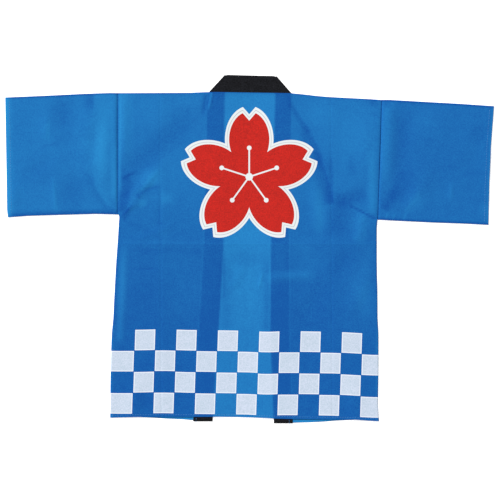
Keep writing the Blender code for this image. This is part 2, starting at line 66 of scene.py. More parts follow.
# %% [markdown]
# ## Colours and nodes
# Colours are written as they would be picked in a paint program, and one function turns them
# to the linear numbers that a shader works with. Another adds a node, sets it and links it, so
# that a material reads as a list of steps, each fed by the ones before.


# %% Two small helpers
def linear(colour):
    """An sRGB colour such as 1d66b2, as linear red, green, blue and alpha."""
    channels = [int(colour[k:k + 2], 16) / 255 for k in (0, 2, 4)]
    return (*[c / 12.92 if c <= 0.04045 else ((c + 0.055) / 1.055) ** 2.4 for c in channels], 1.0)


def add(tree, kind, feeds=None, gives=0, **settings):
    """A new node with its settings, and a value or a link for each input. Gives one of its outputs."""
    node = tree.nodes.new(kind)
    for name, value in settings.items():
        setattr(node, name, value)
    for key, feed in (feeds or {}).items():
        if isinstance(feed, bpy.types.NodeSocket):
            tree.links.new(feed, node.inputs[key])
        else:
            node.inputs[key].default_value = feed
    return node.outputs[gives] if node.outputs else None


print("mid blue in linear numbers:", [round(c, 3) for c in linear("2270b9")])

# %% [markdown]
# ## Camera, floor and light
# The coat is seen straight from above, from far enough that nothing leans. The floor is a
# pale lit table, as for catalogue pictures, so it stays white and takes hardly any shadow. One
# wide soft light comes from the upper left and shows the folds. The sky fills in the rest.

# %% Camera
CAMERA_HEIGHT = 6.0
VIEW_WIDTH = 1.0735         # what the picture shows of the floor, side to side
VIEW_CENTRE = (0.0007, -0.0011)
SENSOR = 36.0

lens = bpy.data.cameras.new("camera")
lens.sensor_width = SENSOR
lens.lens = SENSOR * CAMERA_HEIGHT / VIEW_WIDTH
camera = bpy.data.objects.new("camera", lens)
camera.location = (*VIEW_CENTRE, CAMERA_HEIGHT)
bpy.context.scene.collection.objects.link(camera)
bpy.context.scene.camera = camera
bpy.context.scene.view_settings.view_transform = "Standard"
print("focal length, mm:", round(lens.lens, 1))

# %% Floor
FLOOR_HALF = 12.0
FLOOR_DROP = 0.3 * MM       # just under the cloth, so that the two never share a plane
FLOOR_GLOW = 0.45

floor_mesh = bpy.data.meshes.new("floor")
floor_corners = [
    (side_x * FLOOR_HALF, side_y * FLOOR_HALF, -FLOOR_DROP)
    for side_x, side_y in ((-1, -1), (1, -1), (1, 1), (-1, 1))]
floor_mesh.from_pydata(floor_corners, [], [(0, 1, 2, 3)])
floor = bpy.data.objects.new("floor", floor_mesh)
bpy.context.scene.collection.objects.link(floor)
floor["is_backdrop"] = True

# A matt white table gives the eye an even pale ground that hardly takes a shadow.
floor_paint = bpy.data.materials.new("matt_white_table")
floor_paint.use_nodes = True
floor_shader = floor_paint.node_tree.nodes["Principled BSDF"]
floor_shader.inputs["Base Color"].default_value = linear("f7f7f7")
floor_shader.inputs["Roughness"].default_value = 0.9
floor_shader.inputs["Specular IOR Level"].default_value = 0.1
floor_shader.inputs["Emission Color"].default_value = (1.0, 1.0, 1.0, 1.0)
floor_shader.inputs["Emission Strength"].default_value = FLOOR_GLOW
floor_mesh.materials.append(floor_paint)
print("floor is", 2 * FLOOR_HALF, "m wide")

# %% Lights
SUN_ELEVATION = math.radians(38.0)
SUN_AZIMUTH = math.radians(140.0)        # measured from +X towards +Y: upper left in the picture
SUN_ON_FLOOR = 0.75                      # brightness that the lamp gives a white floor
SKY_ON_FLOOR = 0.5
SUN_SPREAD = math.radians(22.0)

lamp = bpy.data.lights.new("soft_lamp", "SUN")
lamp.energy = SUN_ON_FLOOR * math.pi / math.sin(SUN_ELEVATION)
lamp.angle = SUN_SPREAD
lamp_object = bpy.data.objects.new("soft_lamp", lamp)
toward_lamp = Vector((
    math.cos(SUN_ELEVATION) * math.cos(SUN_AZIMUTH),
    math.cos(SUN_ELEVATION) * math.sin(SUN_AZIMUTH),
    math.sin(SUN_ELEVATION)))
lamp_object.rotation_euler = toward_lamp.to_track_quat("Z", "Y").to_euler()
bpy.context.scene.collection.objects.link(lamp_object)

sky = bpy.data.worlds.new("white_room")
sky.use_nodes = True
sky.node_tree.nodes["Background"].inputs["Color"].default_value = (1.0, 1.0, 1.0, 1.0)
sky.node_tree.nodes["Background"].inputs["Strength"].default_value = SKY_ON_FLOOR
bpy.context.scene.world = sky
print("lamp strength:", round(lamp.energy, 2))

# %% [markdown]
# ## Measuring the solids
# Each panel of the coat has four edges. They could be typed in again, but then they might drift
# from the solid. So they are read off it, by cutting it at one place after another and keeping
# the two ends of each cut, as a tailor measures a panel at several heights. A panel's corners are
# the points that reach furthest along its two diagonals.

# %% Outline of a panel
OUTLINE_STOPS = 320
PANELS = ("back", "front_left", "front_right", "sleeve_left", "sleeve_right")


def edge_lines(node):
    """All edges of a solid, as pairs of points in millimetres."""
    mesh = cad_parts[node].data
    points = np.empty(len(mesh.vertices) * 3)
    mesh.vertices.foreach_get("co", points)
    ends = np.empty(len(mesh.edges) * 2, dtype=int)
    mesh.edges.foreach_get("vertices", ends)
    return (points.reshape(-1, 3) / MM)[ends.reshape(-1, 2)]


def cut(lines, axis, at):
    """Places along the other axis where a solid is cut at one x (axis 0) or one y (axis 1)."""
    start, end = lines[:, 0], lines[:, 1]
    crossing = (start[:, axis] - at) * (end[:, axis] - at) < 0.0
    start, end = start[crossing], end[crossing]
    share = (at - start[:, axis]) / (end[:, axis] - start[:, axis])
    other = 1 - axis
    return start[:, other] + share * (end[:, other] - start[:, other])


def measured_edge(lines, axis, first, last, pick):
    """One edge between two corners, as a function from a place along it to its position."""
    other = 1 - axis
    stops = np.linspace(first[axis], last[axis], OUTLINE_STOPS)
    inner = [pick(cut(lines, axis, at)) for at in stops[1:-1]]
    places = np.array([first[other], *inner, last[other]])
    return lambda at: np.interp(at, stops, places)


def outline_of(node):
    """The four edges of a panel: left and right at a y, low and top at an x."""
    lines = edge_lines(node)
    points = lines.reshape(-1, 3)
    across, up = points[:, 0], points[:, 1]
    low_left, low_right = points[np.argmin(across + up)], points[np.argmax(across - up)]
    top_left, top_right = points[np.argmax(up - across)], points[np.argmax(across + up)]
    return {
        "left": measured_edge(lines, 1, low_left, top_left, np.min),
        "right": measured_edge(lines, 1, low_right, top_right, np.max),
        "low": measured_edge(lines, 0, low_left, low_right, np.min),
        "top": measured_edge(lines, 0, top_left, top_right, np.max),
        "middle": (float(across.mean()), float(up.mean()))}


outlines = {node: outline_of(node) for node in PANELS}
for node, edges in outlines.items():
    mid_x, mid_y = edges["middle"]
    print(node, "is", round(float(edges["right"](mid_y) - edges["left"](mid_y)), 1), "mm across and",
          round(float(edges["top"](mid_x) - edges["low"](mid_x)), 1), "mm long")

# %% [markdown]
# ## Where the cloth leaves the solid's outline
# Solids are built with plain edges, but cloth isn't so exact. The ink makes the printed band
# stiff, so it stands out a little at the sides, and the corners of the hem are drawn up. Each is
# a shift that is added to one measured edge, between a few stops along it.

# %% Shifted edges
PRINT_STOPS = (-180.0, -145.0)         # fully out below the first height, not at all above the second
PRINT_FLARE = 2.0
HEM_STOPS = (-240.0, -170.0, 180.0, 230.0)
HEM_LIFTS = (0.7, 0.0, 0.0, 0.8)


def moved(edge, stops, shifts):
    """An edge with a shift added, read off between stops along the edge."""
    return lambda at: edge(at) + np.interp(at, stops, shifts)


shifts_of_back = {
    "left": (PRINT_STOPS, (-PRINT_FLARE, 0.0)),
    "right": (PRINT_STOPS, (PRINT_FLARE, 0.0)),
    "low": (HEM_STOPS, HEM_LIFTS)}
for side, (stops, shifts) in shifts_of_back.items():
    outlines["back"][side] = moved(outlines["back"][side], stops, shifts)
print("the printed band is", 2 * PRINT_FLARE, "mm wider than its solid")

# %% [markdown]
# ## The height of the cloth
# Rays dropped on a solid from above give its height on a grid. The grid is then softened, which
# turns the solid's flat facets into the smooth swell of cloth over the layers beneath it. A
# shrinkwrapped plane would do the first half of this, but would keep the facets.

# %% Height map
SURVEY_STEP = 5.0
SURVEY_MARGIN = 10.0
RAY_START = 50.0            # well above the coat
STEEPEST = 0.8              # a face whose normal points up less than this is a side, not a top
SWELL_BLUR = 11.0


def softened(values, known, cells):
    """Blur a grid with a bell curve, leaving out the cells that aren't known."""
    reach = int(3 * cells) + 1
    bell = np.exp(-0.5 * (np.arange(-reach, reach + 1) / cells) ** 2)
    sums = np.where(known, values, 0.0)
    weights = known.astype(float)
    for axis in (0, 1):
        sums = np.apply_along_axis(np.convolve, axis, sums, bell, "same")
        weights = np.apply_along_axis(np.convolve, axis, weights, bell, "same")
    return sums / np.maximum(weights, 1e-9)


def drop_ray(tree, x, y):
    """Where a ray from above first meets a surface, in metres, and the surface's normal there."""
    place, normal, _, _ = tree.ray_cast(Vector((x * MM, y * MM, RAY_START * MM)), Vector((0.0, 0.0, -1.0)))
    return place, normal


def top_height(tree, x, y):
    """Height in millimetres of the top of a solid, or nan where there is none."""
    place, normal = drop_ray(tree, x, y)
    return np.nan if place is None or normal.z < STEEPEST else place.z / MM


def height_of(node, blur):
    """Measure a solid on a grid, soften that, and give a function that reads it."""
    tree = BVHTree.FromObject(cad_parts[node], bpy.context.evaluated_depsgraph_get())
    lows = np.array(CAD_BOX[0][:2]) / MM - SURVEY_MARGIN
    highs = np.array(CAD_BOX[1][:2]) / MM + SURVEY_MARGIN
    xs = np.arange(lows[0], highs[0], SURVEY_STEP)
    ys = np.arange(lows[1], highs[1], SURVEY_STEP)
    grid = np.array([[top_height(tree, x, y) for x in xs] for y in ys])
    smooth_grid = softened(grid, ~np.isnan(grid), blur / SURVEY_STEP)

    def read(x, y):
        """Height in millimetres at each place, between the four nearest points of the grid."""
        column = np.clip((x - xs[0]) / SURVEY_STEP, 0, len(xs) - 1.001)
        row = np.clip((y - ys[0]) / SURVEY_STEP, 0, len(ys) - 1.001)
        c, r = column.astype(int), row.astype(int)
        s, t = column - c, row - r
        low = smooth_grid[r, c] * (1 - s) + smooth_grid[r, c + 1] * s
        high = smooth_grid[r + 1, c] * (1 - s) + smooth_grid[r + 1, c + 1] * s
        return low * (1 - t) + high * t

    return read


heights = {node: height_of(node, SWELL_BLUR) for node in ("back", "sleeve_left", "sleeve_right")}
middle_height = float(heights["back"](np.array(0.0), np.array(0.0)))
print("height of the back over its middle, mm:", round(middle_height, 2))

# %% [markdown]
# ## What lies under the back
# The dark collar and the fronts show through the thin cloth of the back. Cuts through the solids
# give the edges of those pieces. A point of the back is over a piece when it lies between two of
# those edges, and the step there is soft, because the upper layer bends gently over the lower.

# %% Cover
STRIP_SPAN = (-355.0, 325.0)            # heights between which the collar's strips are read
STRIP_STOPS = 140
COVER_BLUR = 2.4


def smooth(t):
    """A soft step from 0 to 1."""
    t = np.clip(t, 0.0, 1.0)
    return t * t * (3.0 - 2.0 * t)


def strip_edges(sign):
    """Outer and inner edge of one of the collar's two strips, as functions of y."""
    lines = edge_lines("collar")
    stops = np.linspace(*STRIP_SPAN, STRIP_STOPS)
    cuts = [np.abs([at for at in cut(lines, 1, y) if at * sign > 0.0]) for y in stops]
    outer = np.array([sign * places.max() for places in cuts])
    inner = np.array([sign * places.min() for places in cuts])
    return lambda y: np.interp(y, stops, outer), lambda y: np.interp(y, stops, inner)


def cover(pairs, x, y):
    """How far each point lies between one of the pairs of edges, from 0 to 1."""
    most = np.zeros_like(x)
    for one, other in pairs:
        past_low = (x - np.minimum(one(y), other(y))) / (2.0 * COVER_BLUR)
        past_high = (np.maximum(one(y), other(y)) - x) / (2.0 * COVER_BLUR)
        most = np.maximum(most, smooth(0.5 + past_low) * smooth(0.5 + past_high))
    return most


front_edges = [(outlines[node]["left"], outlines[node]["right"]) for node in ("front_left", "front_right")]
collar_edges = [strip_edges(sign) for sign in (-1.0, 1.0)]
left_outer, left_inner = collar_edges[0]
print("the left strip is", round(float(left_inner(0.0) - left_outer(0.0)), 1), "mm wide")

# %% [markdown]
# ## Laying out a grid
# A panel becomes a grid of points. An even grid is simpler, but a crease that crosses its
# squares comes out jagged. Here the lines run along the panel's own edges and pressed creases,
# so that a crease falls on a line of points and stays crisp. Lines stand close together at
# edges and creases, where the cloth bends sharply, and further apart between.

# %% Grid between guide lines
EDGE_STOPS = (0.0, 0.25, 0.7, 1.4, 2.4, 3.8)
CREASE_STOPS = (0.0, 1.3, 2.8)
SETTLING_ROUNDS = 8         # x and y each depend on the other's edges, so they are found in turns


def spread(length, step, near_start, near_end):
    """Shares from 0 to 1 along a stretch, with close stops at its ends and even ones between."""
    start, end = np.array(near_start), length - np.array(near_end)[::-1]
    cells = max(1, round((end[0] - start[-1]) / step))
    even = np.linspace(start[-1], end[0], cells + 1)
    return np.concatenate([start[:-1], even, end[1:]]) / length


def stretches(guides, lengths, step, ends, creases):
    """Pairs of a guide's number and a share, for every line of the grid from first to last."""
    lines = []
    last = len(guides) - 2
    for k, length in enumerate(lengths):
        near_start = ends if k == 0 else creases
        near_end = ends if k == last else creases
        shares = spread(length, step, near_start, near_end)
        lines += [(k, share) for share in (shares if k == last else shares[:-1])]
    return np.array([line[0] for line in lines]), np.array([line[1] for line in lines])


def between_guides(guides, at, number, share):
    """Places a share of the way from one guide to the next, with the first one's number given."""
    ladder = np.stack([guide(at) for guide in guides])
    number = np.broadcast_to(number, at.shape)[None]
    low, high = [np.take_along_axis(ladder, number + k, 0)[0] for k in (0, 1)]
    return low + (high - low) * share


def lay_out(across, up, across_lines, up_lines, start):
    """Points of a grid: across holds guides read at a y, up holds guides read at an x."""
    column_guide, column_share = across_lines
    row_guide, row_share = up_lines
    x = np.full((len(row_guide), len(column_guide)), float(start[0]))
    y = np.full_like(x, float(start[1]))
    for _ in range(SETTLING_ROUNDS):
        x = between_guides(across, y, column_guide, column_share)
        y = between_guides(up, x, row_guide[:, None], row_share[:, None])
    return x, y


print("stops at an edge, mm:", EDGE_STOPS)

# %% [markdown]
# ## Folds placed one by one
# A cloth simulation makes folds by chance. These are placed one by one, so that each one is where
# this coat has it. A fold is a row in a table: where it starts and ends, how far it bows, how
# wide and how high it is, how sharp its crest is and which flank is the steeper one. A trough
# is a fold with a height below nothing. Tables of the same kind paint light and shade into the
# cloth's tone: lighter where it is lifted off the layer beneath, and painted light and painted
# shade on the lit and shaded flanks of the folds, as long strokes along the folds and round
# mounds for broad areas. All places are millimetres on the coat.

# %% Folds and mounds
FOLD_COLUMNS = "x0 y0 x1 y1 bow width rise sharp lean fade_in fade_out"
MOUND_COLUMNS = "x y reach_x reach_y turn amount"
WAVES = 9
WAVELENGTHS = (45.0, 150.0)


def table(columns, *rows):
    """Rows of numbers under named columns."""
    return [dict(zip(columns.split(), row)) for row in rows]


def strokes(folds, x, y):
    """What a table of folds adds at each point: millimetres of height, or tone with painted light and
    shade.
    """
    total = np.zeros_like(x)
    for fold in folds:
        run_x, run_y = fold["x1"] - fold["x0"], fold["y1"] - fold["y0"]
        length = math.hypot(run_x, run_y)
        along = ((x - fold["x0"]) * run_x + (y - fold["y0"]) * run_y) / length ** 2
        off = ((x - fold["x0"]) * run_y - (y - fold["y0"]) * run_x) / length
        off = off - fold["bow"] * 4.0 * along * (1.0 - along)
        side_width = fold["width"] * np.where(off > 0.0, 1.0 + fold["lean"], 1.0 - fold["lean"])
        reach = np.clip(np.abs(off) / side_width, 0.0, 1.0)
        round_crest = 0.5 + 0.5 * np.cos(math.pi * reach)
        sharp_crest = (1.0 - reach) ** 2
        across = round_crest + (sharp_crest - round_crest) * fold["sharp"]
        fade = smooth(along / fold["fade_in"]) * smooth((1.0 - along) / fold["fade_out"])
        total += fold["rise"] * across * fade
    return total


def mounds(shade_patches, x, y):
    """Sum of round mounds, each turned by an angle in degrees."""
    total = np.zeros_like(x)
    for mound in shade_patches:
        turn = math.radians(mound["turn"])
        dx, dy = x - mound["x"], y - mound["y"]
        along = (dx * math.cos(turn) + dy * math.sin(turn)) / mound["reach_x"]
        aside = (dy * math.cos(turn) - dx * math.sin(turn)) / mound["reach_y"]
        total += mound["amount"] * (1.0 - smooth(np.hypot(along, aside)))
    return total


def wobble(x, y, seed):
    """Slight unevenness of loose cloth, between -1 and 1, as a sum of a few slanting waves."""
    rng = np.random.default_rng(seed)
    total = np.zeros_like(x)
    for _ in range(WAVES):
        heading, phase = rng.uniform(0.0, math.tau, 2)
        wavelength = rng.uniform(*WAVELENGTHS)
        total += np.sin((x * math.cos(heading) + y * math.sin(heading)) / wavelength * math.tau + phase)
    return total / WAVES


print("folds are described by:", FOLD_COLUMNS)

# %% [markdown]
# ## From a grid to thin cloth
# The grid gives the outer face of the cloth. Solidify adds the second face and closes the rim,
# which is what real cloth has, and it puts that inner face in a second material slot, because
# print shows on one face only. The tone of each point is kept with the mesh for the dye.

# %% Cloth from a grid of points
THICKNESS = 0.45


def mark(piece, name, values):
    """Keep a number with each point of a piece, for its materials to read."""
    record = piece.data.attributes.new(name, "FLOAT", "POINT")
    record.data.foreach_set("value", np.asarray(values, dtype=np.float32).ravel())


def make_cloth(name, x, y, z, tone, materials, ring=False):
    """A thin shell whose outer face passes through a grid of points in millimetres."""
    rows, columns = x.shape
    points = np.stack([x, y, z], axis=-1).reshape(-1, 3) * MM
    number = np.arange(rows * columns).reshape(rows, columns)
    if ring:
        number = np.concatenate([number, number[:1]], axis=0)
    corners = [number[:-1, :-1], number[:-1, 1:], number[1:, 1:], number[1:, :-1]]
    faces = np.stack(corners, axis=-1).reshape(-1, 4)
    mesh = bpy.data.meshes.new(name)
    mesh.from_pydata(points.tolist(), [], faces.tolist())
    mesh.polygons.foreach_set("use_smooth", np.ones(len(faces), dtype=bool))
    for material in materials:
        mesh.materials.append(material)
    piece = bpy.data.objects.new(name, mesh)
    bpy.context.scene.collection.objects.link(piece)
    mark(piece, "tone", np.clip(tone, 0.0, 1.0))
    wall = piece.modifiers.new("thickness", "SOLIDIFY")
    wall.thickness = THICKNESS * MM
    wall.offset = -1.0
    wall.material_offset = len(materials) - 1
    print(name, "has", len(faces), "faces and is up to", round(float(z.max()), 2), "mm high")
    return piece


print("cloth is drawn", THICKNESS, "mm thick")

# %% [markdown]
# ## Cloth, print and thread
# The blue cloth is spunbond polypropylene: hot fibres laid down as a web and pressed together at
# small points. To the eye it is matt, slightly mottled and papery, with a faint grid of pressed
# dots. It is thin enough that dark cloth under it shows, so its tone runs from a deep blue,
# where it lies on another layer, to a light blue, where it lies on the bright table or is
# lifted. The tone also holds painted light and shade: painted shade along edges and seams, and
# painted light and shade on the flanks of folds. The tone of each point comes with the mesh, and
# the dye goes between two blues by it.

# %% Spunbond cloth
DOT_SPACING = 3.2           # pressed points are really about 1 mm apart, too fine to show
FIBRE_SIZE = 2.4            # drawn coarse too: real fibres are 0.02 mm thick
FLECK_SIZE = 2.9            # clots of fibre, which make the blue cloudy when seen from far off
FLECK_STRENGTH = 0.74
MOTTLE_SIZE = 14.0
MOTTLE_STRENGTH = 0.2
DOT_RELIEF = 0.35           # how deep the pressed dots are beside the grain of the fibres
DEEP_BLUE = "0f4e97"
LIGHT_BLUE = "2581be"


def new_material(name):
    """An empty material with a Principled shader, and its tree."""
    material = bpy.data.materials.new(name)
    material.use_nodes = True
    return material, material.node_tree, material.node_tree.nodes["Principled BSDF"]


def object_place(tree):
    """Object coordinates, which are metres on the coat, and the unevenness of the web there."""
    place = add(tree, "ShaderNodeTexCoord", gives="Object")
    mottle = add(tree, "ShaderNodeTexNoise", {
        "Vector": place, "Scale": 1.0 / (MOTTLE_SIZE * MM), "Detail": 3.0, "Roughness": 0.5}, gives="Fac")
    fleck = add(tree, "ShaderNodeTexNoise", {
        "Vector": place, "Scale": 1.0 / (FLECK_SIZE * MM), "Detail": 2.0, "Roughness": 0.6}, gives="Fac")
    middle = -0.5 * (MOTTLE_STRENGTH + FLECK_STRENGTH)
    broad = add(tree, "ShaderNodeMath", {
        0: mottle, 1: MOTTLE_STRENGTH, 2: middle}, operation="MULTIPLY_ADD")
    uneven = add(tree, "ShaderNodeMath", {
        0: fleck, 1: FLECK_STRENGTH, 2: broad}, operation="MULTIPLY_ADD")
    return place, uneven


def web_relief(tree, place):
    """Height of the fibre web: pressed dots and a grain of fibres."""
    dots = add(tree, "ShaderNodeTexVoronoi", {
        "Vector": place, "Scale": 1.0 / (DOT_SPACING * MM), "Randomness": 0.25}, gives="Distance")
    grain = add(tree, "ShaderNodeTexNoise", {
        "Vector": place, "Scale": 1.0 / (FIBRE_SIZE * MM), "Detail": 3.0, "Roughness": 0.7}, gives="Fac")
    return add(tree, "ShaderNodeMath", {0: dots, 1: DOT_RELIEF, 2: grain}, operation="MULTIPLY_ADD")


def finish_cloth(tree, shader, colour, relief, roughness=0.8):
    """Link the colour and the relief, and set what is the same all over spunbond cloth."""
    bump = add(tree, "ShaderNodeBump", {"Strength": 0.35, "Distance": 0.25 * MM, "Height": relief})
    tree.links.new(colour, shader.inputs["Base Color"])
    tree.links.new(bump, shader.inputs["Normal"])
    shader.inputs["Roughness"].default_value = roughness
    shader.inputs["IOR"].default_value = 1.49
    shader.inputs["Specular IOR Level"].default_value = 0.05
    shader.inputs["Sheen Weight"].default_value = 0.02
    shader.inputs["Sheen Roughness"].default_value = 0.5


def blue_dye(tree, uneven):
    """The two blues, mixed by the tone and its painted light and shade, and a little by the uneven web."""
    tone = add(tree, "ShaderNodeAttribute", attribute_name="tone", gives="Fac")
    share = add(tree, "ShaderNodeMath", {0: tone, 1: uneven}, operation="ADD", use_clamp=True)
    return add(tree, "ShaderNodeMix", {
        "Factor": share, 6: linear(DEEP_BLUE), 7: linear(LIGHT_BLUE)}, data_type="RGBA", gives=2)


def make_blue_spunbond():
    """Plain blue cloth: matt, cloudy and a little papery to the eye."""
    material, tree, shader = new_material("blue_spunbond_polypropylene")
    place, uneven = object_place(tree)
    finish_cloth(tree, shader, blue_dye(tree, uneven), web_relief(tree, place))
    return material


blue_spunbond = make_blue_spunbond()
print("plain cloth:", blue_spunbond.name)

# %% [markdown]
# ## The checks round the hem
# Four rows of white squares in a chequered band are a very old pattern on such coats. They are
# white ink pressed into blue cloth, so the ink stays a little bluish. An image could carry them,
# but would blur close up, so the pattern is worked out. Each point's place is turned into a
# column and a row, and the squares where the two add up to an even number are white. The rows
# drop slightly to the right, and the columns lean, because the panel lies a little askew. The
# rows also wave, as the cloth does: each point of a printed piece keeps how far they rise there.

# %% Checks
CHECK_WIDTH = 44.4
CHECK_HEIGHT = 45.3
CHECK_ROWS = 4
CHECK_START = (-246.1, -171.6)         # upper left corner of the first white square
COLUMN_LEAN = 0.0317                   # how far a column moves right for each mm up
ROW_DROP = 0.0162                      # how far a row drops for each mm to the right
ROW_WAVE = (                           # places across, and how far the rows rise there
    (-282, -252, -224, -202, -181, -157, -134, -95, -5, 14, 26, 42, 55, 68, 109, 180, 206, 221, 249, 264),
    (-0.8, -0.3, 0.6, 1.6, 2.0, 1.8, 1.4, 1.6, 1.8, 1.2, 0.3, 0.3, 1.0, 1.8, 2.4, 2.5, 1.8, 1.2, 0.0, -0.4))
FIRST_COLUMN = -0.9                    # the outermost column runs out to the side seam
INK_ROUGHNESS = 0.78                   # printed cloth is a little smoother
INK_MIDDLE = 0.45
INK_GRAIN = 2.2                        # ink fills the dents of the web unevenly, and shows it more
WHITE_INK_DEEP = "a8bac8"
WHITE_INK_LIGHT = "ccd3e5"
WHITE_SHOWS = 0.2                      # how much of the tone beneath, painted light and shade included, comes through white ink
RIM_INK = "dbe0e8"                     # ink piles up along the edges of a square, and is whiter there
RIM_WIDTH = 2.6
INK_INSET = 0.7                        # a square is printed this much inside its cell


def check_place(tree, place):
    """Column and row of a point in the chequered band, counted in squares."""
    start_x, start_y = CHECK_START[0] * MM, CHECK_START[1] * MM
    across, down = [
        add(tree, "ShaderNodeVectorMath", {0: place, 1: way}, operation="DOT_PRODUCT", gives="Value")
        for way in ((1.0, -COLUMN_LEAN, 0.0), (-ROW_DROP, -1.0, 0.0))]
    across = add(tree, "ShaderNodeMath", {
        0: across, 1: start_x - COLUMN_LEAN * start_y}, operation="SUBTRACT")
    column = add(tree, "ShaderNodeMath", {0: across, 1: CHECK_WIDTH * MM}, operation="DIVIDE")
    column = add(tree, "ShaderNodeMath", {0: column, 1: FIRST_COLUMN}, operation="MAXIMUM")
    down = add(tree, "ShaderNodeMath", {0: down, 1: -ROW_DROP * start_x - start_y}, operation="SUBTRACT")
    wave = add(tree, "ShaderNodeAttribute", attribute_name="row_wave", gives="Fac")
    down = add(tree, "ShaderNodeMath", {0: wave, 1: MM, 2: down}, operation="MULTIPLY_ADD")
    row = add(tree, "ShaderNodeMath", {0: down, 1: CHECK_HEIGHT * MM}, operation="DIVIDE")
    return column, row


def to_nearest_line(tree, column, row):
    """Distance in millimetres to the nearest line between two squares."""
    distances = []
    for part, size in ((column, CHECK_WIDTH), (row, CHECK_HEIGHT)):
        share = add(tree, "ShaderNodeMath", {0: part, 1: 0.5}, operation="PINGPONG")
        distances.append(add(tree, "ShaderNodeMath", {0: share, 1: size}, operation="MULTIPLY"))
    return add(tree, "ShaderNodeMath", {0: distances[0], 1: distances[1]}, operation="MINIMUM")


def white_cells(tree, column, row):
    """1 on the cells of the band whose column and row add up to an even number."""
    whole = [add(tree, "ShaderNodeMath", {0: part}, operation="FLOOR") for part in (column, row)]
    both = add(tree, "ShaderNodeMath", {0: whole[0], 1: whole[1]}, operation="ADD")
    odd = add(tree, "ShaderNodeMath", {0: both, 1: 2.0}, operation="FLOORED_MODULO")
    even = add(tree, "ShaderNodeMath", {0: odd, 1: 0.5}, operation="LESS_THAN")
    below_top = add(tree, "ShaderNodeMath", {0: row, 1: 0.0}, operation="GREATER_THAN")
    above_end = add(tree, "ShaderNodeMath", {0: row, 1: float(CHECK_ROWS)}, operation="LESS_THAN")
    band = add(tree, "ShaderNodeMath", {0: below_top, 1: above_end}, operation="MULTIPLY")
    return add(tree, "ShaderNodeMath", {0: even, 1: band}, operation="MULTIPLY")


def ink_depth(tree, uneven, shows=0.0):
    """How light an ink is at each point: it follows the web, and a little the tone beneath, painted shade
    included.
    """
    tone = add(tree, "ShaderNodeAttribute", attribute_name="tone", gives="Fac")
    grain = add(tree, "ShaderNodeMath", {0: uneven, 1: INK_GRAIN, 2: INK_MIDDLE}, operation="MULTIPLY_ADD")
    return add(tree, "ShaderNodeMath", {
        0: tone, 1: shows, 2: grain}, operation="MULTIPLY_ADD", use_clamp=True)


def print_checks(tree, place, dye, uneven):
    """White ink over the dye: squares a little inside their cells, whiter along their rims."""
    column, row = check_place(tree, place)
    to_line = to_nearest_line(tree, column, row)
    rim = add(tree, "ShaderNodeMath", {0: to_line, 1: RIM_WIDTH}, operation="LESS_THAN")
    inked = add(tree, "ShaderNodeMath", {0: to_line, 1: INK_INSET}, operation="GREATER_THAN")
    cells = white_cells(tree, column, row)
    squares = add(tree, "ShaderNodeMath", {0: cells, 1: inked}, operation="MULTIPLY")
    ink = add(tree, "ShaderNodeMix", {
        "Factor": ink_depth(tree, uneven, WHITE_SHOWS), 6: linear(WHITE_INK_DEEP),
        7: linear(WHITE_INK_LIGHT)}, data_type="RGBA", gives=2)
    rimmed = add(tree, "ShaderNodeMix", {
        "Factor": rim, 6: ink, 7: linear(RIM_INK)}, data_type="RGBA", gives=2)
    return add(tree, "ShaderNodeMix", {
        "Factor": squares, 6: dye, 7: rimmed}, data_type="RGBA", gives=2)


def make_checked_spunbond():
    """The blue cloth with checks, which look flat and chalky where the ink lies."""
    material, tree, shader = new_material("blue_spunbond_with_printed_checks")
    place, uneven = object_place(tree)
    printed = print_checks(tree, place, blue_dye(tree, uneven), uneven)
    finish_cloth(tree, shader, printed, web_relief(tree, place), INK_ROUGHNESS)
    return material


checked_spunbond = make_checked_spunbond()
print("checks are", CHECK_WIDTH, "by", CHECK_HEIGHT, "mm")

# %% [markdown]
# ## The print on the back
# The middle of the back carries a large red print with a white border. A plain cherry blossom
# with five petals stands there, as on many festival coats. One petal is an ellipse with a
# notch at its tip. The shader folds the plane into five equal sectors, so it only needs that
# one petal, and it measures how far each point is from the petal's edge: inside is red, a band
# outside is white with a thin grey line in it, and the rest stays blue.

# %% Blossom
BLOSSOM_CENTRE = (-1.0, 156.0)
BLOSSOM_RADIUS = 137.0                  # from the centre to the tips of the red petals
PETAL_MIDDLE = 0.585                    # from here to the heart, sizes are shares of that radius
PETAL_HALF_LENGTH = 0.435
PETAL_HALF_WIDTH = 0.315
NOTCH_DEPTH_AT = 0.88
NOTCH_SLOPE = 1.15
HEART = 0.25                            # the petals run together inside this share of the radius
BORDER = 9.0                            # millimetres again from here on
BORDER_LINE = 4.3
BORDER_LINE_HALF = 0.6
STAMEN_HALF = 1.7
STAMEN_END = 62.0
ANTHER_RADIUS = 5.0
DISC_RADIUS = 8.0
RED_INK_DEEP = "9a221e"                 # red ink is laid on thick, so it hides the tone beneath, but
RED_INK_LIGHT = "d32a22"                # it fills the web unevenly and the eye sees the mean of the two
PRINT_WHITE = "d8ddde"
PRINT_GREY = "b2b6bc"


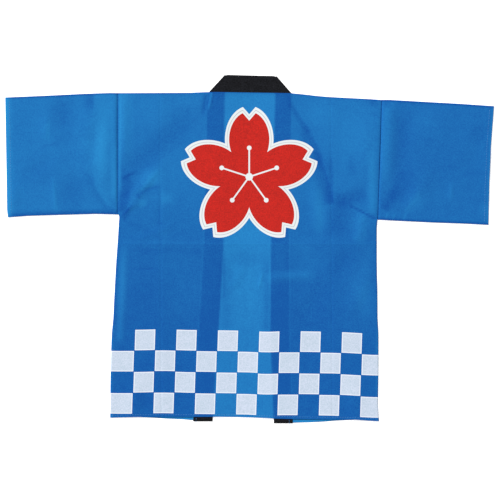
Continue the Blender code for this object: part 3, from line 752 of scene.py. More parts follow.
def petal_place(tree, place):
    """Place along and across the nearest petal, and from the centre, in shares of the radius."""
    share = 1.0 / (BLOSSOM_RADIUS * MM)
    centred = add(tree, "ShaderNodeMapping", {
        "Vector": place, "Location": (-BLOSSOM_CENTRE[0] * MM, -BLOSSOM_CENTRE[1] * MM, 0.0)})
    flat = add(tree, "ShaderNodeVectorMath", {0: centred, 1: (share, share, 0.0)}, operation="MULTIPLY")
    to_right, up = [add(tree, "ShaderNodeSeparateXYZ", {0: flat}, gives=axis) for axis in ("X", "Y")]
    out = add(tree, "ShaderNodeVectorMath", {0: flat}, operation="LENGTH", gives="Value")
    angle = add(tree, "ShaderNodeMath", {0: to_right, 1: up}, operation="ARCTAN2")
    half_sector = math.pi / 5.0
    turned = add(tree, "ShaderNodeMath", {0: angle, 1: half_sector}, operation="ADD")
    sector = add(tree, "ShaderNodeMath", {0: turned, 1: 2.0 * half_sector}, operation="FLOORED_MODULO")
    from_axis = add(tree, "ShaderNodeMath", {0: sector, 1: half_sector}, operation="SUBTRACT")
    tilt = add(tree, "ShaderNodeMath", {0: from_axis}, operation="ABSOLUTE")
    shares = [add(tree, "ShaderNodeMath", {0: tilt}, operation=wave) for wave in ("COSINE", "SINE")]
    along, aside = [add(tree, "ShaderNodeMath", {0: out, 1: part}, operation="MULTIPLY") for part in shares]
    return along, aside, out


def beyond_petals(tree, along, aside, out):
    """Distance outside the blossom's edge as a share of its radius, below 0 inside it."""
    shifted = add(tree, "ShaderNodeMath", {0: along, 1: PETAL_MIDDLE}, operation="SUBTRACT")
    scaled = [
        add(tree, "ShaderNodeMath", {0: shifted, 1: PETAL_HALF_LENGTH}, operation="DIVIDE"),
        add(tree, "ShaderNodeMath", {0: aside, 1: PETAL_HALF_WIDTH}, operation="DIVIDE")]
    oval = add(tree, "ShaderNodeCombineXYZ", {0: scaled[0], 1: scaled[1]})
    reach = add(tree, "ShaderNodeVectorMath", {0: oval}, operation="LENGTH", gives="Value")
    rim = add(tree, "ShaderNodeMath", {
        0: reach, 1: PETAL_HALF_WIDTH, 2: -PETAL_HALF_WIDTH}, operation="MULTIPLY_ADD")
    beyond = add(tree, "ShaderNodeMath", {0: along, 1: NOTCH_DEPTH_AT}, operation="SUBTRACT")
    slant = add(tree, "ShaderNodeMath", {0: aside, 1: -NOTCH_SLOPE, 2: beyond}, operation="MULTIPLY_ADD")
    notch = add(tree, "ShaderNodeMath", {0: slant, 1: math.hypot(1.0, NOTCH_SLOPE)}, operation="DIVIDE")
    petal = add(tree, "ShaderNodeMath", {0: rim, 1: notch}, operation="MAXIMUM")
    heart = add(tree, "ShaderNodeMath", {0: out, 1: HEART}, operation="SUBTRACT")
    return add(tree, "ShaderNodeMath", {0: petal, 1: heart}, operation="MINIMUM")


def stamens(tree, along, aside, out):
    """1 on the white heart of the blossom: a thread up each petal with a dot at its end."""
    share = 1.0 / BLOSSOM_RADIUS
    thin = add(tree, "ShaderNodeMath", {0: aside, 1: STAMEN_HALF * share}, operation="LESS_THAN")
    short = add(tree, "ShaderNodeMath", {0: along, 1: STAMEN_END * share}, operation="LESS_THAN")
    thread = add(tree, "ShaderNodeMath", {0: thin, 1: short}, operation="MULTIPLY")
    to_end = add(tree, "ShaderNodeMath", {0: along, 1: STAMEN_END * share}, operation="SUBTRACT")
    offset = add(tree, "ShaderNodeCombineXYZ", {0: to_end, 1: aside})
    gap = add(tree, "ShaderNodeVectorMath", {0: offset}, operation="LENGTH", gives="Value")
    dot = add(tree, "ShaderNodeMath", {0: gap, 1: ANTHER_RADIUS * share}, operation="LESS_THAN")
    heart = add(tree, "ShaderNodeMath", {0: out, 1: DISC_RADIUS * share}, operation="LESS_THAN")
    drawn = add(tree, "ShaderNodeMath", {0: thread, 1: dot}, operation="MAXIMUM")
    return add(tree, "ShaderNodeMath", {0: drawn, 1: heart}, operation="MAXIMUM")


def print_blossom(tree, place, under, uneven):
    """Red and white ink of the blossom over what is already there."""
    along, aside, out = petal_place(tree, place)
    distance = beyond_petals(tree, along, aside, out)
    unit = 1.0 / BLOSSOM_RADIUS
    within_border = add(tree, "ShaderNodeMath", {0: distance, 1: BORDER * unit}, operation="LESS_THAN")
    red = add(tree, "ShaderNodeMath", {0: distance, 1: 0.0}, operation="LESS_THAN")
    from_line = add(tree, "ShaderNodeMath", {0: distance, 1: BORDER_LINE * unit}, operation="SUBTRACT")
    near_line = add(tree, "ShaderNodeMath", {0: from_line}, operation="ABSOLUTE")
    line = add(tree, "ShaderNodeMath", {0: near_line, 1: BORDER_LINE_HALF * unit}, operation="LESS_THAN")
    white = add(tree, "ShaderNodeMix", {
        "Factor": line, 6: linear(PRINT_WHITE), 7: linear(PRINT_GREY)}, data_type="RGBA", gives=2)
    bordered = add(tree, "ShaderNodeMix", {
        "Factor": within_border, 6: under, 7: white}, data_type="RGBA", gives=2)
    ink = add(tree, "ShaderNodeMix", {
        "Factor": ink_depth(tree, uneven), 6: linear(RED_INK_DEEP),
        7: linear(RED_INK_LIGHT)}, data_type="RGBA", gives=2)
    filled = add(tree, "ShaderNodeMix", {"Factor": red, 6: bordered, 7: ink}, data_type="RGBA", gives=2)
    heart = stamens(tree, along, aside, out)
    return add(tree, "ShaderNodeMix", {
        "Factor": heart, 6: filled, 7: linear(PRINT_WHITE)}, data_type="RGBA", gives=2)


def make_back_spunbond():
    """The cloth of the back, with the checks and the blossom. Its red is dense and flat."""
    material, tree, shader = new_material("blue_spunbond_with_checks_and_blossom")
    place, uneven = object_place(tree)
    checked = print_checks(tree, place, blue_dye(tree, uneven), uneven)
    printed = print_blossom(tree, place, checked, uneven)
    finish_cloth(tree, shader, printed, web_relief(tree, place), INK_ROUGHNESS)
    return material


back_spunbond = make_back_spunbond()
print("blossom is about", round(2 * (BLOSSOM_RADIUS + BORDER)), "mm across")

# %% [markdown]
# ## Black cloth and blue thread
# The collar is the same kind of cloth, dyed black, and folded double, so nothing shows through
# it. The thread is spun polyester: round, a little shiny, and lighter than the cloth.

# %% Black spunbond and thread
BLACK_DEEP = "060608"
BLACK_LIGHT = "222328"
THREAD_DARK = "2f73b8"
THREAD_LIGHT = "5b9bd6"
THREAD_TWIST = 0.9          # a band of its twist is about 0.6 of this long


def make_black_spunbond():
    """Black cloth, as matt and papery as the blue, with a faint grain."""
    material, tree, shader = new_material("black_spunbond_polypropylene")
    place, uneven = object_place(tree)
    dye = add(tree, "ShaderNodeMix", {
        "Factor": ink_depth(tree, uneven), 6: linear(BLACK_DEEP), 7: linear(BLACK_LIGHT)},
        data_type="RGBA", gives=2)
    finish_cloth(tree, shader, dye, web_relief(tree, place), roughness=0.85)
    shader.inputs["Specular IOR Level"].default_value = 0.08
    return material


def make_blue_thread():
    """Twisted thread, which glints a little and shows its twist as slanting bands."""
    material, tree, shader = new_material("blue_polyester_thread")
    place = add(tree, "ShaderNodeTexCoord", gives="Object")
    twist = add(tree, "ShaderNodeTexWave", {
        "Vector": place, "Scale": 1.0 / (THREAD_TWIST * MM), "Distortion": 2.0},
        bands_direction="DIAGONAL", gives="Fac")
    dye = add(tree, "ShaderNodeMix", {
        "Factor": twist, 6: linear(THREAD_DARK), 7: linear(THREAD_LIGHT)}, data_type="RGBA", gives=2)
    bump = add(tree, "ShaderNodeBump", {"Strength": 0.5, "Distance": 0.1 * MM, "Height": twist})
    tree.links.new(dye, shader.inputs["Base Color"])
    tree.links.new(bump, shader.inputs["Normal"])
    shader.inputs["Roughness"].default_value = 0.5
    shader.inputs["Sheen Weight"].default_value = 0.2
    return material


black_spunbond = make_black_spunbond()
blue_thread = make_blue_thread()
print("also ready:", black_spunbond.name, "and", blue_thread.name)

# %% [markdown]
# ## The back
# The back is one panel that lies over the fronts and the collar's two strips. Its side seams and
# shoulders bend down to the table round the fronts, and its armholes, neck and hem are open
# edges. The folds come from how the coat was packed and pulled: two pressed creases run from
# top to hem, one runs across, and soft folds fan out from each underarm. Seen from above no part
# of it hides another, so one grid with a height for each point is enough.

# %% Folds of the back
BACK_FOLDS = table(
    FOLD_COLUMNS,
    (-269, 170, -270, 337, 0, 13, 0.7, 0, 0.2, 0.3, 0.2),
    (-269, 152, -95, 311, 0, 38.5, -0.28, 0, 0, 0.2, 0.3),
    (-273, 77, -190, 182, 3, 17, 0.85, 0.25, -0.4, 0.15, 0.25),
    (-276, 71, -219, 107, -4, 7.5, 0.9, 0.5, -0.2, 0.1, 0.4),
    (-276, 76, -258, 97, 2, 4, -0.9, 0.5, 0, 0.1, 0.4),
    (-273, 155, -239, 169, -2, 5, 0.5, 0.6, -0.5, 0.15, 0.4),
    (-254, 109, -194, 136, -5, 8.5, -0.7, 0.2, 0, 0.2, 0.3),
    (-198, 43, -195, 101, 0, 10.5, -0.35, 0.2, 0, 0.3, 0.3),
    (-101, 283, -93, 331, 0, 10.5, -0.5, 0.1, 0, 0.4, 0.1),
    (-88, 298, -81, 337, 1, 4.5, 1, 0.6, 0, 0.4, 0.05),
    (-73, 311, -67, 335, 0, 4.5, 0.4, 0.5, 0, 0.5, 0.1),
    (88, 316, 131, 247, 0, 10.5, -0.35, 0, 0.3, 0.15, 0.3),
    (116, 270, 165, 174, 1, 19.5, -0.5, 0, 0.4, 0.3, 0.3),
    (146, 213, 181, 105, 2, 21.5, -0.6, 0.1, 0.6, 0.3, 0.15),
    (182, 99, 247, 118, 2, 26, -0.4, 0, 0, 0.25, 0.2),
    (191, 28, 208, 99, 0, 30, -0.2, 0, -0.2, 0.4, 0.3),
    (143, 24, 141, 152, 0, 19.5, 0.6, 0, -0.2, 0.3, 0.3),
    (229, 6, 242, 84, 1, 19.5, 0.8, 0.1, -0.1, 0.3, 0.2),
    (214, 96, 274, 64, 1, 4.5, -0.6, 0.5, -0.1, 0.1, 0.05),
    (262, 62, 262, 213, 0, 15, 0.5, 0, -0.2, 0.2, 0.3),
    (259, 297, 279, 282, 0, 3.5, -0.5, 0.4, 0, 0.4, 0.1),
    (266, 307, 281, 296, 0, 3, -0.4, 0.4, 0, 0.4, 0.1),
    (20, -87, 28, -46, -1, 4.5, 0.9, 0.4, -0.2, 0.25, 0.3),
    (-43, -88, -15, -28, 4, 17, 0.45, 0.1, 0.1, 0.3, 0.3),
    (36, -64, 139, -58, -3, 13, 0.5, 0, 0, 0.25, 0.25),
    (180, -75, 221, 11, 0, 28, -0.4, 0, 0.1, 0.3, 0.3),
    (208, -148, 262, -28, 4, 26, 0.6, 0, -0.2, 0.3, 0.4),
    (109, -161, 176, -58, 0, 30, -0.4, 0, 0, 0.3, 0.3),
    (-279, -217, -271, 28, 1, 15, 0.5, 0, 0.1, 0.2, 0.3),
    (-260, -39, -191, -41, 1, 4.5, -0.4, 0.3, 0, 0.2, 0.3),
    (-256, 0, -97, -3, 0, 8.5, -0.2, 0, 0, 0.2, 0.2),
    (-254, 17, -153, 54, 0, 13, 0.5, 0.1, 0, 0.3, 0.3),
    (-258, -369, -234, -251, 4, 26, 0.6, 0.1, 0, 0.05, 0.6),
    (232, -376, 225, -264, -4, 26, 0.6, 0.1, 0, 0.05, 0.6))
print(len(BACK_FOLDS), "folds on the back")

# %% Shape of the back
LEFT_CREASE = ((-361.0, 335.0), (-189.8, -192.6))        # heights, and places across at them
RIGHT_CREASE = ((-366.0, 328.0), (177.4, 174.2))
CROSS_CREASE = 11.5
LEFT_DENT = (0.28, 1.6)     # depth and half width of a pressed crease
RIGHT_DENT = (0.25, 1.6)
CROSS_RIDGE = (-0.22, 2.0)  # this one is pressed the other way and stands up
BACK_WOBBLE = 0.22
BACK_SEED = 3
NECK = (-85.0, 89.5)
NECK_RIDGE = 0.5
UNDERARM = {"left": 75.0, "right": 63.0}
SOFT_STEP = 3.0             # how gently a seam or the neck goes over into the next stretch of edge
SHOULDER_STEP = 4.0
RIDGE_REACH = 5.0           # the seam at the neck stands up this far from the edge
LIP_RADIUS = 2.0
LIP_LOW = 0.25
SEAM_REACH = 6.0
SEAM_DIP = 0.6
CLEARANCE = 0.12            # between the back and what lies under it
STRIP_BELOW = 1.65          # how much room the folded collar strip takes
BACK_WIDTHS = (96.0, 367.0, 104.0)      # about how far apart its guides are, across and up
BACK_LENGTHS = (375.0, 320.0)
BACK_STEPS = (3.0, 3.9)


def rounded(distance, radius):
    """0 at an edge, 1 beyond a radius from it, along a quarter of a circle."""
    t = 1.0 - np.clip(distance / radius, 0.0, 1.0)
    return np.sqrt(np.maximum(1.0 - t * t, 0.0))


def crease_dent(distance, depth, half_width):
    """A pressed crease: a narrow valley, or a ridge when its depth is below nothing."""
    return -depth * np.exp(-(distance / half_width) ** 2)


def to_sides(x, y):
    """Distance of each point from the back's left and right edge, with that side's underarm."""
    edges = outlines["back"]
    return (x - edges["left"](y), UNDERARM["left"]), (edges["right"](y) - x, UNDERARM["right"])


def floor_for_back(x, y):
    """Lowest height of the outer face that keeps the cloth clear of what lies under it."""
    below = THICKNESS * cover(front_edges, x, y) + STRIP_BELOW * cover(collar_edges, x, y)
    return THICKNESS + CLEARANCE + below


def back_height(x, y):
    """Height of the outer face of the back."""
    sides = to_sides(x, y)
    from_top = outlines["back"]["top"](x) - y
    inside = smooth(np.minimum.reduce([from_top, *[distance for distance, _ in sides]]) / SEAM_REACH)
    folds = strokes(BACK_FOLDS, x, y) + BACK_WOBBLE * wobble(x, y, BACK_SEED)
    z = heights["back"](x, y) + folds * inside
    z += crease_dent(x - np.interp(y, *LEFT_CREASE), *LEFT_DENT)
    z += crease_dent(x - np.interp(y, *RIGHT_CREASE), *RIGHT_DENT)
    z += crease_dent(y - CROSS_CREASE, *CROSS_RIDGE)
    shoulder = smooth((NECK[0] - x) / SHOULDER_STEP) + smooth((x - NECK[1]) / SHOULDER_STEP)
    neck_edge = (1.0 - shoulder) * (1.0 - smooth((from_top - RIDGE_REACH) / SOFT_STEP))
    z = np.maximum(z, floor_for_back(x, y)) + NECK_RIDGE * neck_edge
    for distance, underarm in sides:
        armhole = smooth((y - underarm) / SOFT_STEP)
        z -= SEAM_DIP * armhole * (1.0 - smooth(distance / SEAM_REACH)) ** 2
        z = LIP_LOW + (z - LIP_LOW) * (armhole + (1.0 - armhole) * rounded(distance, LIP_RADIUS))
    return LIP_LOW + (z - LIP_LOW) * (1.0 - shoulder * (1.0 - rounded(from_top, LIP_RADIUS)))


def back_grid():
    """Points of the back, laid out between its edges and its three pressed creases."""
    edges = outlines["back"]
    creases = [lambda y: np.interp(y, *LEFT_CREASE), lambda y: np.interp(y, *RIGHT_CREASE)]
    across = [edges["left"], *creases, edges["right"]]
    up = [edges["low"], lambda x: np.full_like(x, CROSS_CREASE), edges["top"]]
    across_lines = stretches(across, BACK_WIDTHS, BACK_STEPS[0], EDGE_STOPS, CREASE_STOPS)
    up_lines = stretches(up, BACK_LENGTHS, BACK_STEPS[1], EDGE_STOPS, CREASE_STOPS)
    return lay_out(across, up, across_lines, up_lines, (0.0, 0.0))


back_x, back_y = back_grid()
back_z = back_height(back_x, back_y)
print("the back has", back_x.shape[1], "lines across and", back_x.shape[0], "up")

# %% [markdown]
# ## The tone of the back
# Where the back lies on a front or on the collar it looks deeper, and more so lower down, where it
# lies closest. Lifted cloth is lighter. Along its edges and seams the blue is deeper, partly for
# the double cloth and partly as painted shade. The rows below paint light and shade on the lit
# and shaded flanks of the folds, as strokes and broad mounds. Each row is one such place.

# %% Tone of the back
# Strokes of painted light and painted shade along the folds and seams of the back.
BACK_SHADES = table(
    FOLD_COLUMNS,
    (-279, 109, -279, 335, 0, 4.5, 0.3, 0, 0.2, 0.15, 0.02),
    (-277, 165, -275, 337, 0, 21.5, 0.3, 0, 0.7, 0.7, 0.02),
    (-275, 67, -191, 28, 0, 8.5, -0.08, 0, 0, 0.1, 0.4),
    (-282, 144, -93, 313, 0, 43, -0.14, 0, 0, 0.2, 0.35),
    (-102, 281, -94, 333, 0, 9.5, -0.26, 0, 0.1, 0.4, 0.05),
    (-91, 294, -82, 337, 1, 4, 0.45, 0.2, 0, 0.4, 0.03),
    (-276, 75, -264, 178, 0, 19.5, -0.26, 0, 0.2, 0.1, 0.3),
    (-269, 105, -247, 152, 0, 13, -0.12, 0, 0, 0.3, 0.3),
    (-275, 152, -238, 168, -2, 5, -0.26, 0.3, 0.4, 0.1, 0.4),
    (-245, 120, -189, 182, 3, 15, 0.1, 0.2, 0.5, 0.1, 0.25),
    (-249, 109, -190, 136, -5, 7, -0.26, 0.1, 0, 0.2, 0.2),
    (-276, 70, -256, 94, 2, 4.5, -0.42, 0.2, 0, 0.1, 0.3),
    (-275, 62, -254, 82, 1, 4, -0.25, 0.3, 0, 0.1, 0.4),
    (-264, 86, -239, 115, -2, 4.5, 0.1, 0.2, 0, 0.2, 0.3),
    (-192, 39, -193, 99, 0, 5, -0.13, 0, -0.7, 0.3, 0.3),
    (-189, 90, -190, 140, 0, 7.5, 0.2, 0.1, 0.8, 0.2, 0.5),
    (-185, 4, -185, 43, 0, 6.5, 0.12, 0.1, 0.5, 0.3, 0.3),
    (-281, -208, -269, 36, 1, 13, 0.24, 0, 0, 0.1, 0.3),
    (-260, -40, -194, -41, 0, 3.5, -0.16, 0.2, 0, 0.2, 0.3),
    (-264, -2, -88, -5, 0, 10.5, -0.07, 0, 0, 0.2, 0.2),
    (-275, 17, -28, 13, 0, 6.5, 0.07, 0, 0, 0.1, 0.2),
    (84, 318, 131, 245, 0, 9, -0.24, 0, 0.3, 0.1, 0.25),
    (116, 277, 169, 174, 3, 20.5, -0.24, 0, 0.6, 0.25, 0.25),
    (143, 221, 180, 94, -2, 21.5, -0.26, 0, 0.75, 0.3, 0.1),
    (175, 217, 179, 94, 0, 12, -0.2, 0, 0.75, 0.3, 0.1),
    (150, 15, 143, 157, 0, 21.5, 0.14, 0, -0.2, 0.3, 0.3),
    (176, 101, 255, 120, 2, 26, -0.22, 0, -0.2, 0.2, 0.15),
    (186, 19, 199, 118, 0, 36.5, -0.15, 0, -0.1, 0.3, 0.3),
    (263, 69, 263, 234, 0, 15, 0.24, 0, 0, 0.1, 0.3),
    (214, 95, 273, 65, 1, 4, -0.42, 0.3, 0, 0.1, 0.03),
    (232, 6, 242, 86, 1, 21.5, 0.2, 0, 0, 0.3, 0.15),
    (259, 296, 279, 282, 0, 3, -0.18, 0.1, 0, 0.4, 0.1),
    (20, -86, 28, -47, -1, 3.5, 0.24, 0.3, 0, 0.25, 0.3),
    (28, -63, 150, -57, -4, 19.5, 0.2, 0, 0, 0.15, 0.25),
    (62, -62, 66, 24, 0, 23.5, 0.1, 0, 0, 0.2, 0.2),
    # a painted shadow beside the inner edge of the collar's right strip
    (40, -183, 40, 6, 0, 12, -0.24, 0, -0.8, 0.1, 0.3),
    (-57, -114, -55, 2, 0, 5, -0.22, 0, 0.5, 0.2, 0.2),
    (-52, -178, -50, -11, 0, 19.5, -0.13, 0, 0, 0.1, 0.2))
# Broad mounds of painted light and painted shade on the back.
BACK_SHADE_PATCHES = table(
    MOUND_COLUMNS,
    (-213, 303, 73, 64, 0, 0.12),
    (-136, 320, 47, 30, 0, 0.1),
    (-211, 152, 36, 30, 45, 0.24),
    (-230, 99, 17, 13, 30, 0.34),
    (-206, 112, 19, 13, 10, 0.08),
    (-176, 109, 19, 19, 0, 0.24),
    (-166, 170, 47, 73, 0, 0.08),
    (148, 294, 60, 56, 0, 0.15),
    (225, 251, 86, 107, 0, 0.14),
    (219, 178, 15, 36, 0, -0.14),
    (109, 9, 52, 39, 0, 0.1),
    (135, -118, 39, 73, -35, -0.04),
    (227, -152, 86, 107, 0, 0.06),
    (131, -28, 56, 47, 0, 0.1),
    (195, -28, 34, 56, -30, -0.07),
    (247, -105, 34, 86, 15, 0.14),
    (-217, -122, 56, 107, 0, -0.06),
    (-213, -303, 129, 107, 0, -0.08),
    (-161, -28, 52, 64, 0, 0.05),
    (-5, 36, 56, 34, 0, 0.06),
    (-5, -19, 56, 24, 0, -0.12),
    (-43, -88, 21, 47, -30, -0.06),
    (2, -101, 17, 73, 0, 0.1),
    (-39, -54, 13, 17, 20, -0.08),
    (-22, -92, 11, 26, -20, 0.09),
    (-48, -127, 15, 13, 0, -0.08),
    (-18, -157, 17, 13, 0, 0.05),
    (28, -110, 9, 52, 0, 0.05),
    (-5, 28, 43, 21, 0, 0.04),
    (86, 324, 9, 11, 0, -0.2),
    (204, 97, 21, 30, 10, -0.05),
    (264, 316, 21, 17, 0, -0.2),
    (152, 79, 19, 73, 0, 0.14),
    (-191, -135, 86, 56, 0, 0.06),
    (251, -32, 21, 56, 0, 0.1),
    (-131, -97, 69, 77, 0, 0.08),
    (124, -110, 39, 56, 0, 0.06),
    (234, -92, 56, 90, 0, 0.09),
    (-273, -75, 21, 107, 0, 0.09))
OPEN_TONES = ((-200.0, -60.0), (0.58, 0.68))                  # on the table: heights, and tones there
FRONT_TONES = ((-150.0, 30.0, 130.0), (0.14, 0.27, 0.42))     # on a front
STRIP_TONES = ((-150.0, 20.0), (0.03, 0.14))                  # on a strip of the collar
EDGE_DOUBLE_AND_SHADE = 0.45            # how much deeper the blue is along an edge: double cloth, and painted shade
EDGE_SHADE = 2.4
SEAM_SHADE = 1.0


def edge_double_and_shade(distance, width=EDGE_SHADE):
    """Deeper blue along a folded or sewn edge: the double cloth, and painted shade where it rolls down."""
    return -EDGE_DOUBLE_AND_SHADE * np.exp(-(np.maximum(distance, 0.0) / width) ** 2)


def back_tone(x, y):
    """0 where the back looks deepest and 1 where it looks lightest, with painted light and shade."""
    tone = np.interp(y, *OPEN_TONES)
    tone = tone + (np.interp(y, *FRONT_TONES) - tone) * cover(front_edges, x, y)
    tone = tone + (np.interp(y, *STRIP_TONES) - tone) * cover(collar_edges, x, y)
    for distance, underarm in to_sides(x, y):
        tone = tone + edge_double_and_shade(distance, np.where(y < underarm, EDGE_SHADE, SEAM_SHADE))
    tone = tone + edge_double_and_shade(outlines["back"]["top"](x) - y)
    return tone + strokes(BACK_SHADES, x, y) + mounds(BACK_SHADE_PATCHES, x, y)


back = make_cloth(
    "happi_back", back_x, back_y, back_z, back_tone(back_x, back_y), (back_spunbond, blue_spunbond))
mark(back, "row_wave", np.interp(back_x, *ROW_WAVE))

# %% [markdown]
# ## The sleeves
# Each sleeve is a flattened tube: a strip of cloth folded along the shoulder line, and seamed
# along the bottom. Two sheets would have to be joined along both folds, so it is built as one
# grid that runs all round the tube. The lower layer lies flat on the table, and the upper one
# swells a little. At the armhole the upper layer dips and runs just under the edge of the back,
# which makes the narrow groove of the seam.

# %% Folds of the sleeves
LEFT_SLEEVE_FOLDS = table(
    FOLD_COLUMNS,
    (-286, 82, -346, 180, -13, 23.5, -0.5, 0.3, 0.3, 0.1, 0.2),
    (-346, 174, -327, 294, 4, 21.5, -0.4, 0.1, 0.2, 0.2, 0.3),
    (-346, 286, -344, 333, 0, 21.5, -0.25, 0, -0.2, 0.4, 0.2),
    (-438, 230, -436, 294, 0, 15, 0.6, 0.2, -0.4, 0.3, 0.4),
    (-415, 79, -423, 165, 0, 9.5, 0.6, 0.4, -0.3, 0.3, 0.4),
    (-406, 251, -393, 324, 0, 30, -0.3, 0, 0, 0.3, 0.3),
    (-393, 92, -372, 170, 0, 34.5, -0.3, 0, 0, 0.3, 0.3),
    (-492, 152, -406, 213, 4, 21.5, -0.35, 0, 0, 0.3, 0.3),
    (-509, 84, -501, 148, 0, 17, 0.5, 0.1, 0, 0.3, 0.3),
    (-292, 82, -312, 107, 0, 5, 0.6, 0.6, 0, 0.1, 0.6))
RIGHT_SLEEVE_FOLDS = table(
    FOLD_COLUMNS,
    (289, 114, 299, 316, 0, 21.5, 0.6, 0, 0.2, 0.3, 0.1),
    (320, 105, 332, 311, 0, 30, -0.35, 0, 0, 0.3, 0.3),
    (332, 82, 371, 140, 0, 19.5, 0.7, 0.2, -0.2, 0.2, 0.4),
    (432, 97, 434, 148, 0, 9.5, 0.5, 0.2, -0.3, 0.4, 0.4),
    (358, 208, 384, 311, 4, 34.5, 0.4, 0, 0, 0.3, 0.3),
    (453, 144, 508, 281, 4, 30, -0.35, 0, 0, 0.3, 0.3),
    (289, 67, 296, 82, 0, 4.5, 0.5, 0.5, 0, 0.1, 0.6),
    (305, 64, 311, 82, 0, 4.5, 0.45, 0.5, 0, 0.1, 0.6),
    (322, 64, 326, 79, 0, 4.5, 0.4, 0.5, 0, 0.1, 0.6),
    (339, 62, 343, 79, 0, 4.5, 0.35, 0.5, 0, 0.1, 0.6))
# Strokes of painted light and painted shade along the sleeves' folds.
LEFT_SLEEVE_SHADES = table(
    FOLD_COLUMNS,
    (-320, 148, -305, 341, -4, 38.5, 0.22, 0, 0, 0.2, 0.02),
    (-329, 157, -320, 286, 0, 19.5, 0.14, 0, 0.3, 0.2, 0.4),
    (-295, 88, -333, 174, -6, 26, 0.14, 0, 0.6, 0.15, 0.25),
    (-327, 114, -320, 273, 6, 17, 0.06, 0, 0.3, 0.3, 0.3),
    (-337, 281, -335, 337, 0, 15, -0.18, 0, -0.8, 0.5, 0.02),
    (-432, 228, -429, 290, 0, 13, 0.16, 0, -0.7, 0.25, 0.4),
    (-415, 75, -422, 170, 0, 7.5, 0.16, 0, -0.2, 0.1, 0.6),
    (-456, 219, -402, 230, 0, 6.5, -0.1, 0, 0, 0.3, 0.3),
    (-286, 79, -346, 178, -13, 13, -0.12, 0, -0.7, 0.1, 0.2),
    (-295, 331, -297, 92, 0, 5.5, 0.08, 0, 0, 0.2, 0.2),
    (-291, 97, -289, 255, 0, 9.5, 0.14, 0, 0, 0.2, 0.3))
RIGHT_SLEEVE_SHADES = table(
    FOLD_COLUMNS,
    (286, 114, 294, 320, 0, 19.5, 0.2, 0, 0.3, 0.35, 0.02),
    (315, 92, 328, 307, 0, 28, -0.1, 0, 0.2, 0.1, 0.2),
    (287, 84, 320, 140, 0, 19.5, -0.2, 0, 0, 0.05, 0.4),
    (332, 79, 369, 135, 2, 13, 0.14, 0, 0.5, 0.1, 0.3),
    (432, 97, 434, 148, 0, 7, 0.12, 0, -0.4, 0.3, 0.3),
    (292, 67, 298, 82, 0, 3.5, 0.25, 0.1, 0, 0.05, 0.5),
    (307, 64, 313, 82, 0, 3.5, 0.2, 0.1, 0, 0.05, 0.5),
    (330, 64, 337, 82, 0, 4.5, 0.2, 0.1, 0, 0.05, 0.5))
# Broad mounds of painted light and painted shade on the sleeves.
LEFT_SLEEVE_SHADE_PATCHES = table(
    MOUND_COLUMNS,
    (-402, 290, 47, 64, 0, -0.18),
    (-398, 234, 34, 26, 20, -0.1),
    (-453, 165, 73, 56, 20, -0.12),
    (-492, 260, 43, 64, 0, -0.04),
    (-380, 122, 52, 69, 0, -0.18),
    (-295, 103, 19, 15, -30, -0.14),
    (-312, 260, 19, 56, 0, 0.08),
    (-307, 328, 21, 17, 0, -0.08),
    (-355, 230, 21, 30, 0, 0.1),
    (-346, 316, 17, 24, 0, -0.1),
    (-385, 195, 52, 26, 0, -0.06),
    (-290, 148, 11, 64, 0, 0.12))
RIGHT_SLEEVE_SHADE_PATCHES = table(
    MOUND_COLUMNS,
    (358, 99, 30, 28, 0, 0.12),
    (375, 277, 47, 43, 0, 0.08),
    (491, 249, 34, 30, 0, -0.1),
    (294, 313, 13, 17, 0, -0.2),
    (388, 191, 99, 86, 0, -0.04),
    (478, 165, 30, 15, 10, -0.08),
    (440, 178, 24, 17, 0, -0.06),
    (504, 86, 19, 30, 0, 0.14),
    (410, 114, 56, 26, 0, 0.05),
    (337, 144, 30, 56, -15, -0.1))
print(len(LEFT_SLEEVE_FOLDS), "and", len(RIGHT_SLEEVE_FOLDS), "folds on the sleeves")

# %% Shape of a sleeve
FOLD_RADIUS = 1.15          # half the height of the flattened tube at its folded edges
ROUND_TILTS = (60.0, 30.0, 0.0, -30.0, -60.0)        # points round a folded edge, in degrees
SLEEVE_LENGTH, SLEEVE_DEPTH = 240.0, 254.0          # about how far apart its edges are
LENGTH_STEP, UPPER_STEP, LOWER_STEP = 3.0, 3.2, 12.0
LENGTH_ENDS = (0.0, 0.7, 1.6, 3.0, 4.6)
UPPER_ENDS = (0.0, 0.6, 1.6, 3.2)
LOWER_ENDS = (0.0, 3.0)
SLEEVE_WOBBLE = 0.2
DEEPEST_DENT = 0.4
FOLD_CALM = 9.0             # folds die out this near the tube's folded edges
SLEEVE_UNDER_BACK = 1.6
TUCK_REACH = 0.7
SLEEVE_SEAM_HEIGHT = 1.0
DIP_FADE = 2.0              # the dip at the armhole dies out this near the folded edges
CUFF_DROP = 0.5
CUFF_RADIUS = 2.0
SLEEVE_SAG = {"sleeve_left": 1.2, "sleeve_right": 0.5}       # how far the seam rolls under
SLEEVE_TONE = {"sleeve_left": 0.5, "sleeve_right": 0.31}
LOW_SHADE = {"sleeve_left": 7.0, "sleeve_right": 2.8}        # how far the deeper blue reaches from the seam: double cloth and painted shade where it rolls under
CUFF_PAINTED_LIGHT = {"sleeve_left": 0.6, "sleeve_right": 0.3}        # painted light along the open cuff, where light comes into the tube
CUFF_LIGHT_REACH = {"sleeve_left": 9.0, "sleeve_right": 3.0}


def fold_lines(node):
    """The two lines, one radius inside a sleeve's folded edges, where its flat layers begin."""
    edges = outlines[node]
    return [
        lambda x: edges["low"](x) + FOLD_RADIUS - SLEEVE_SAG[node],
        lambda x: edges["top"](x) - FOLD_RADIUS]


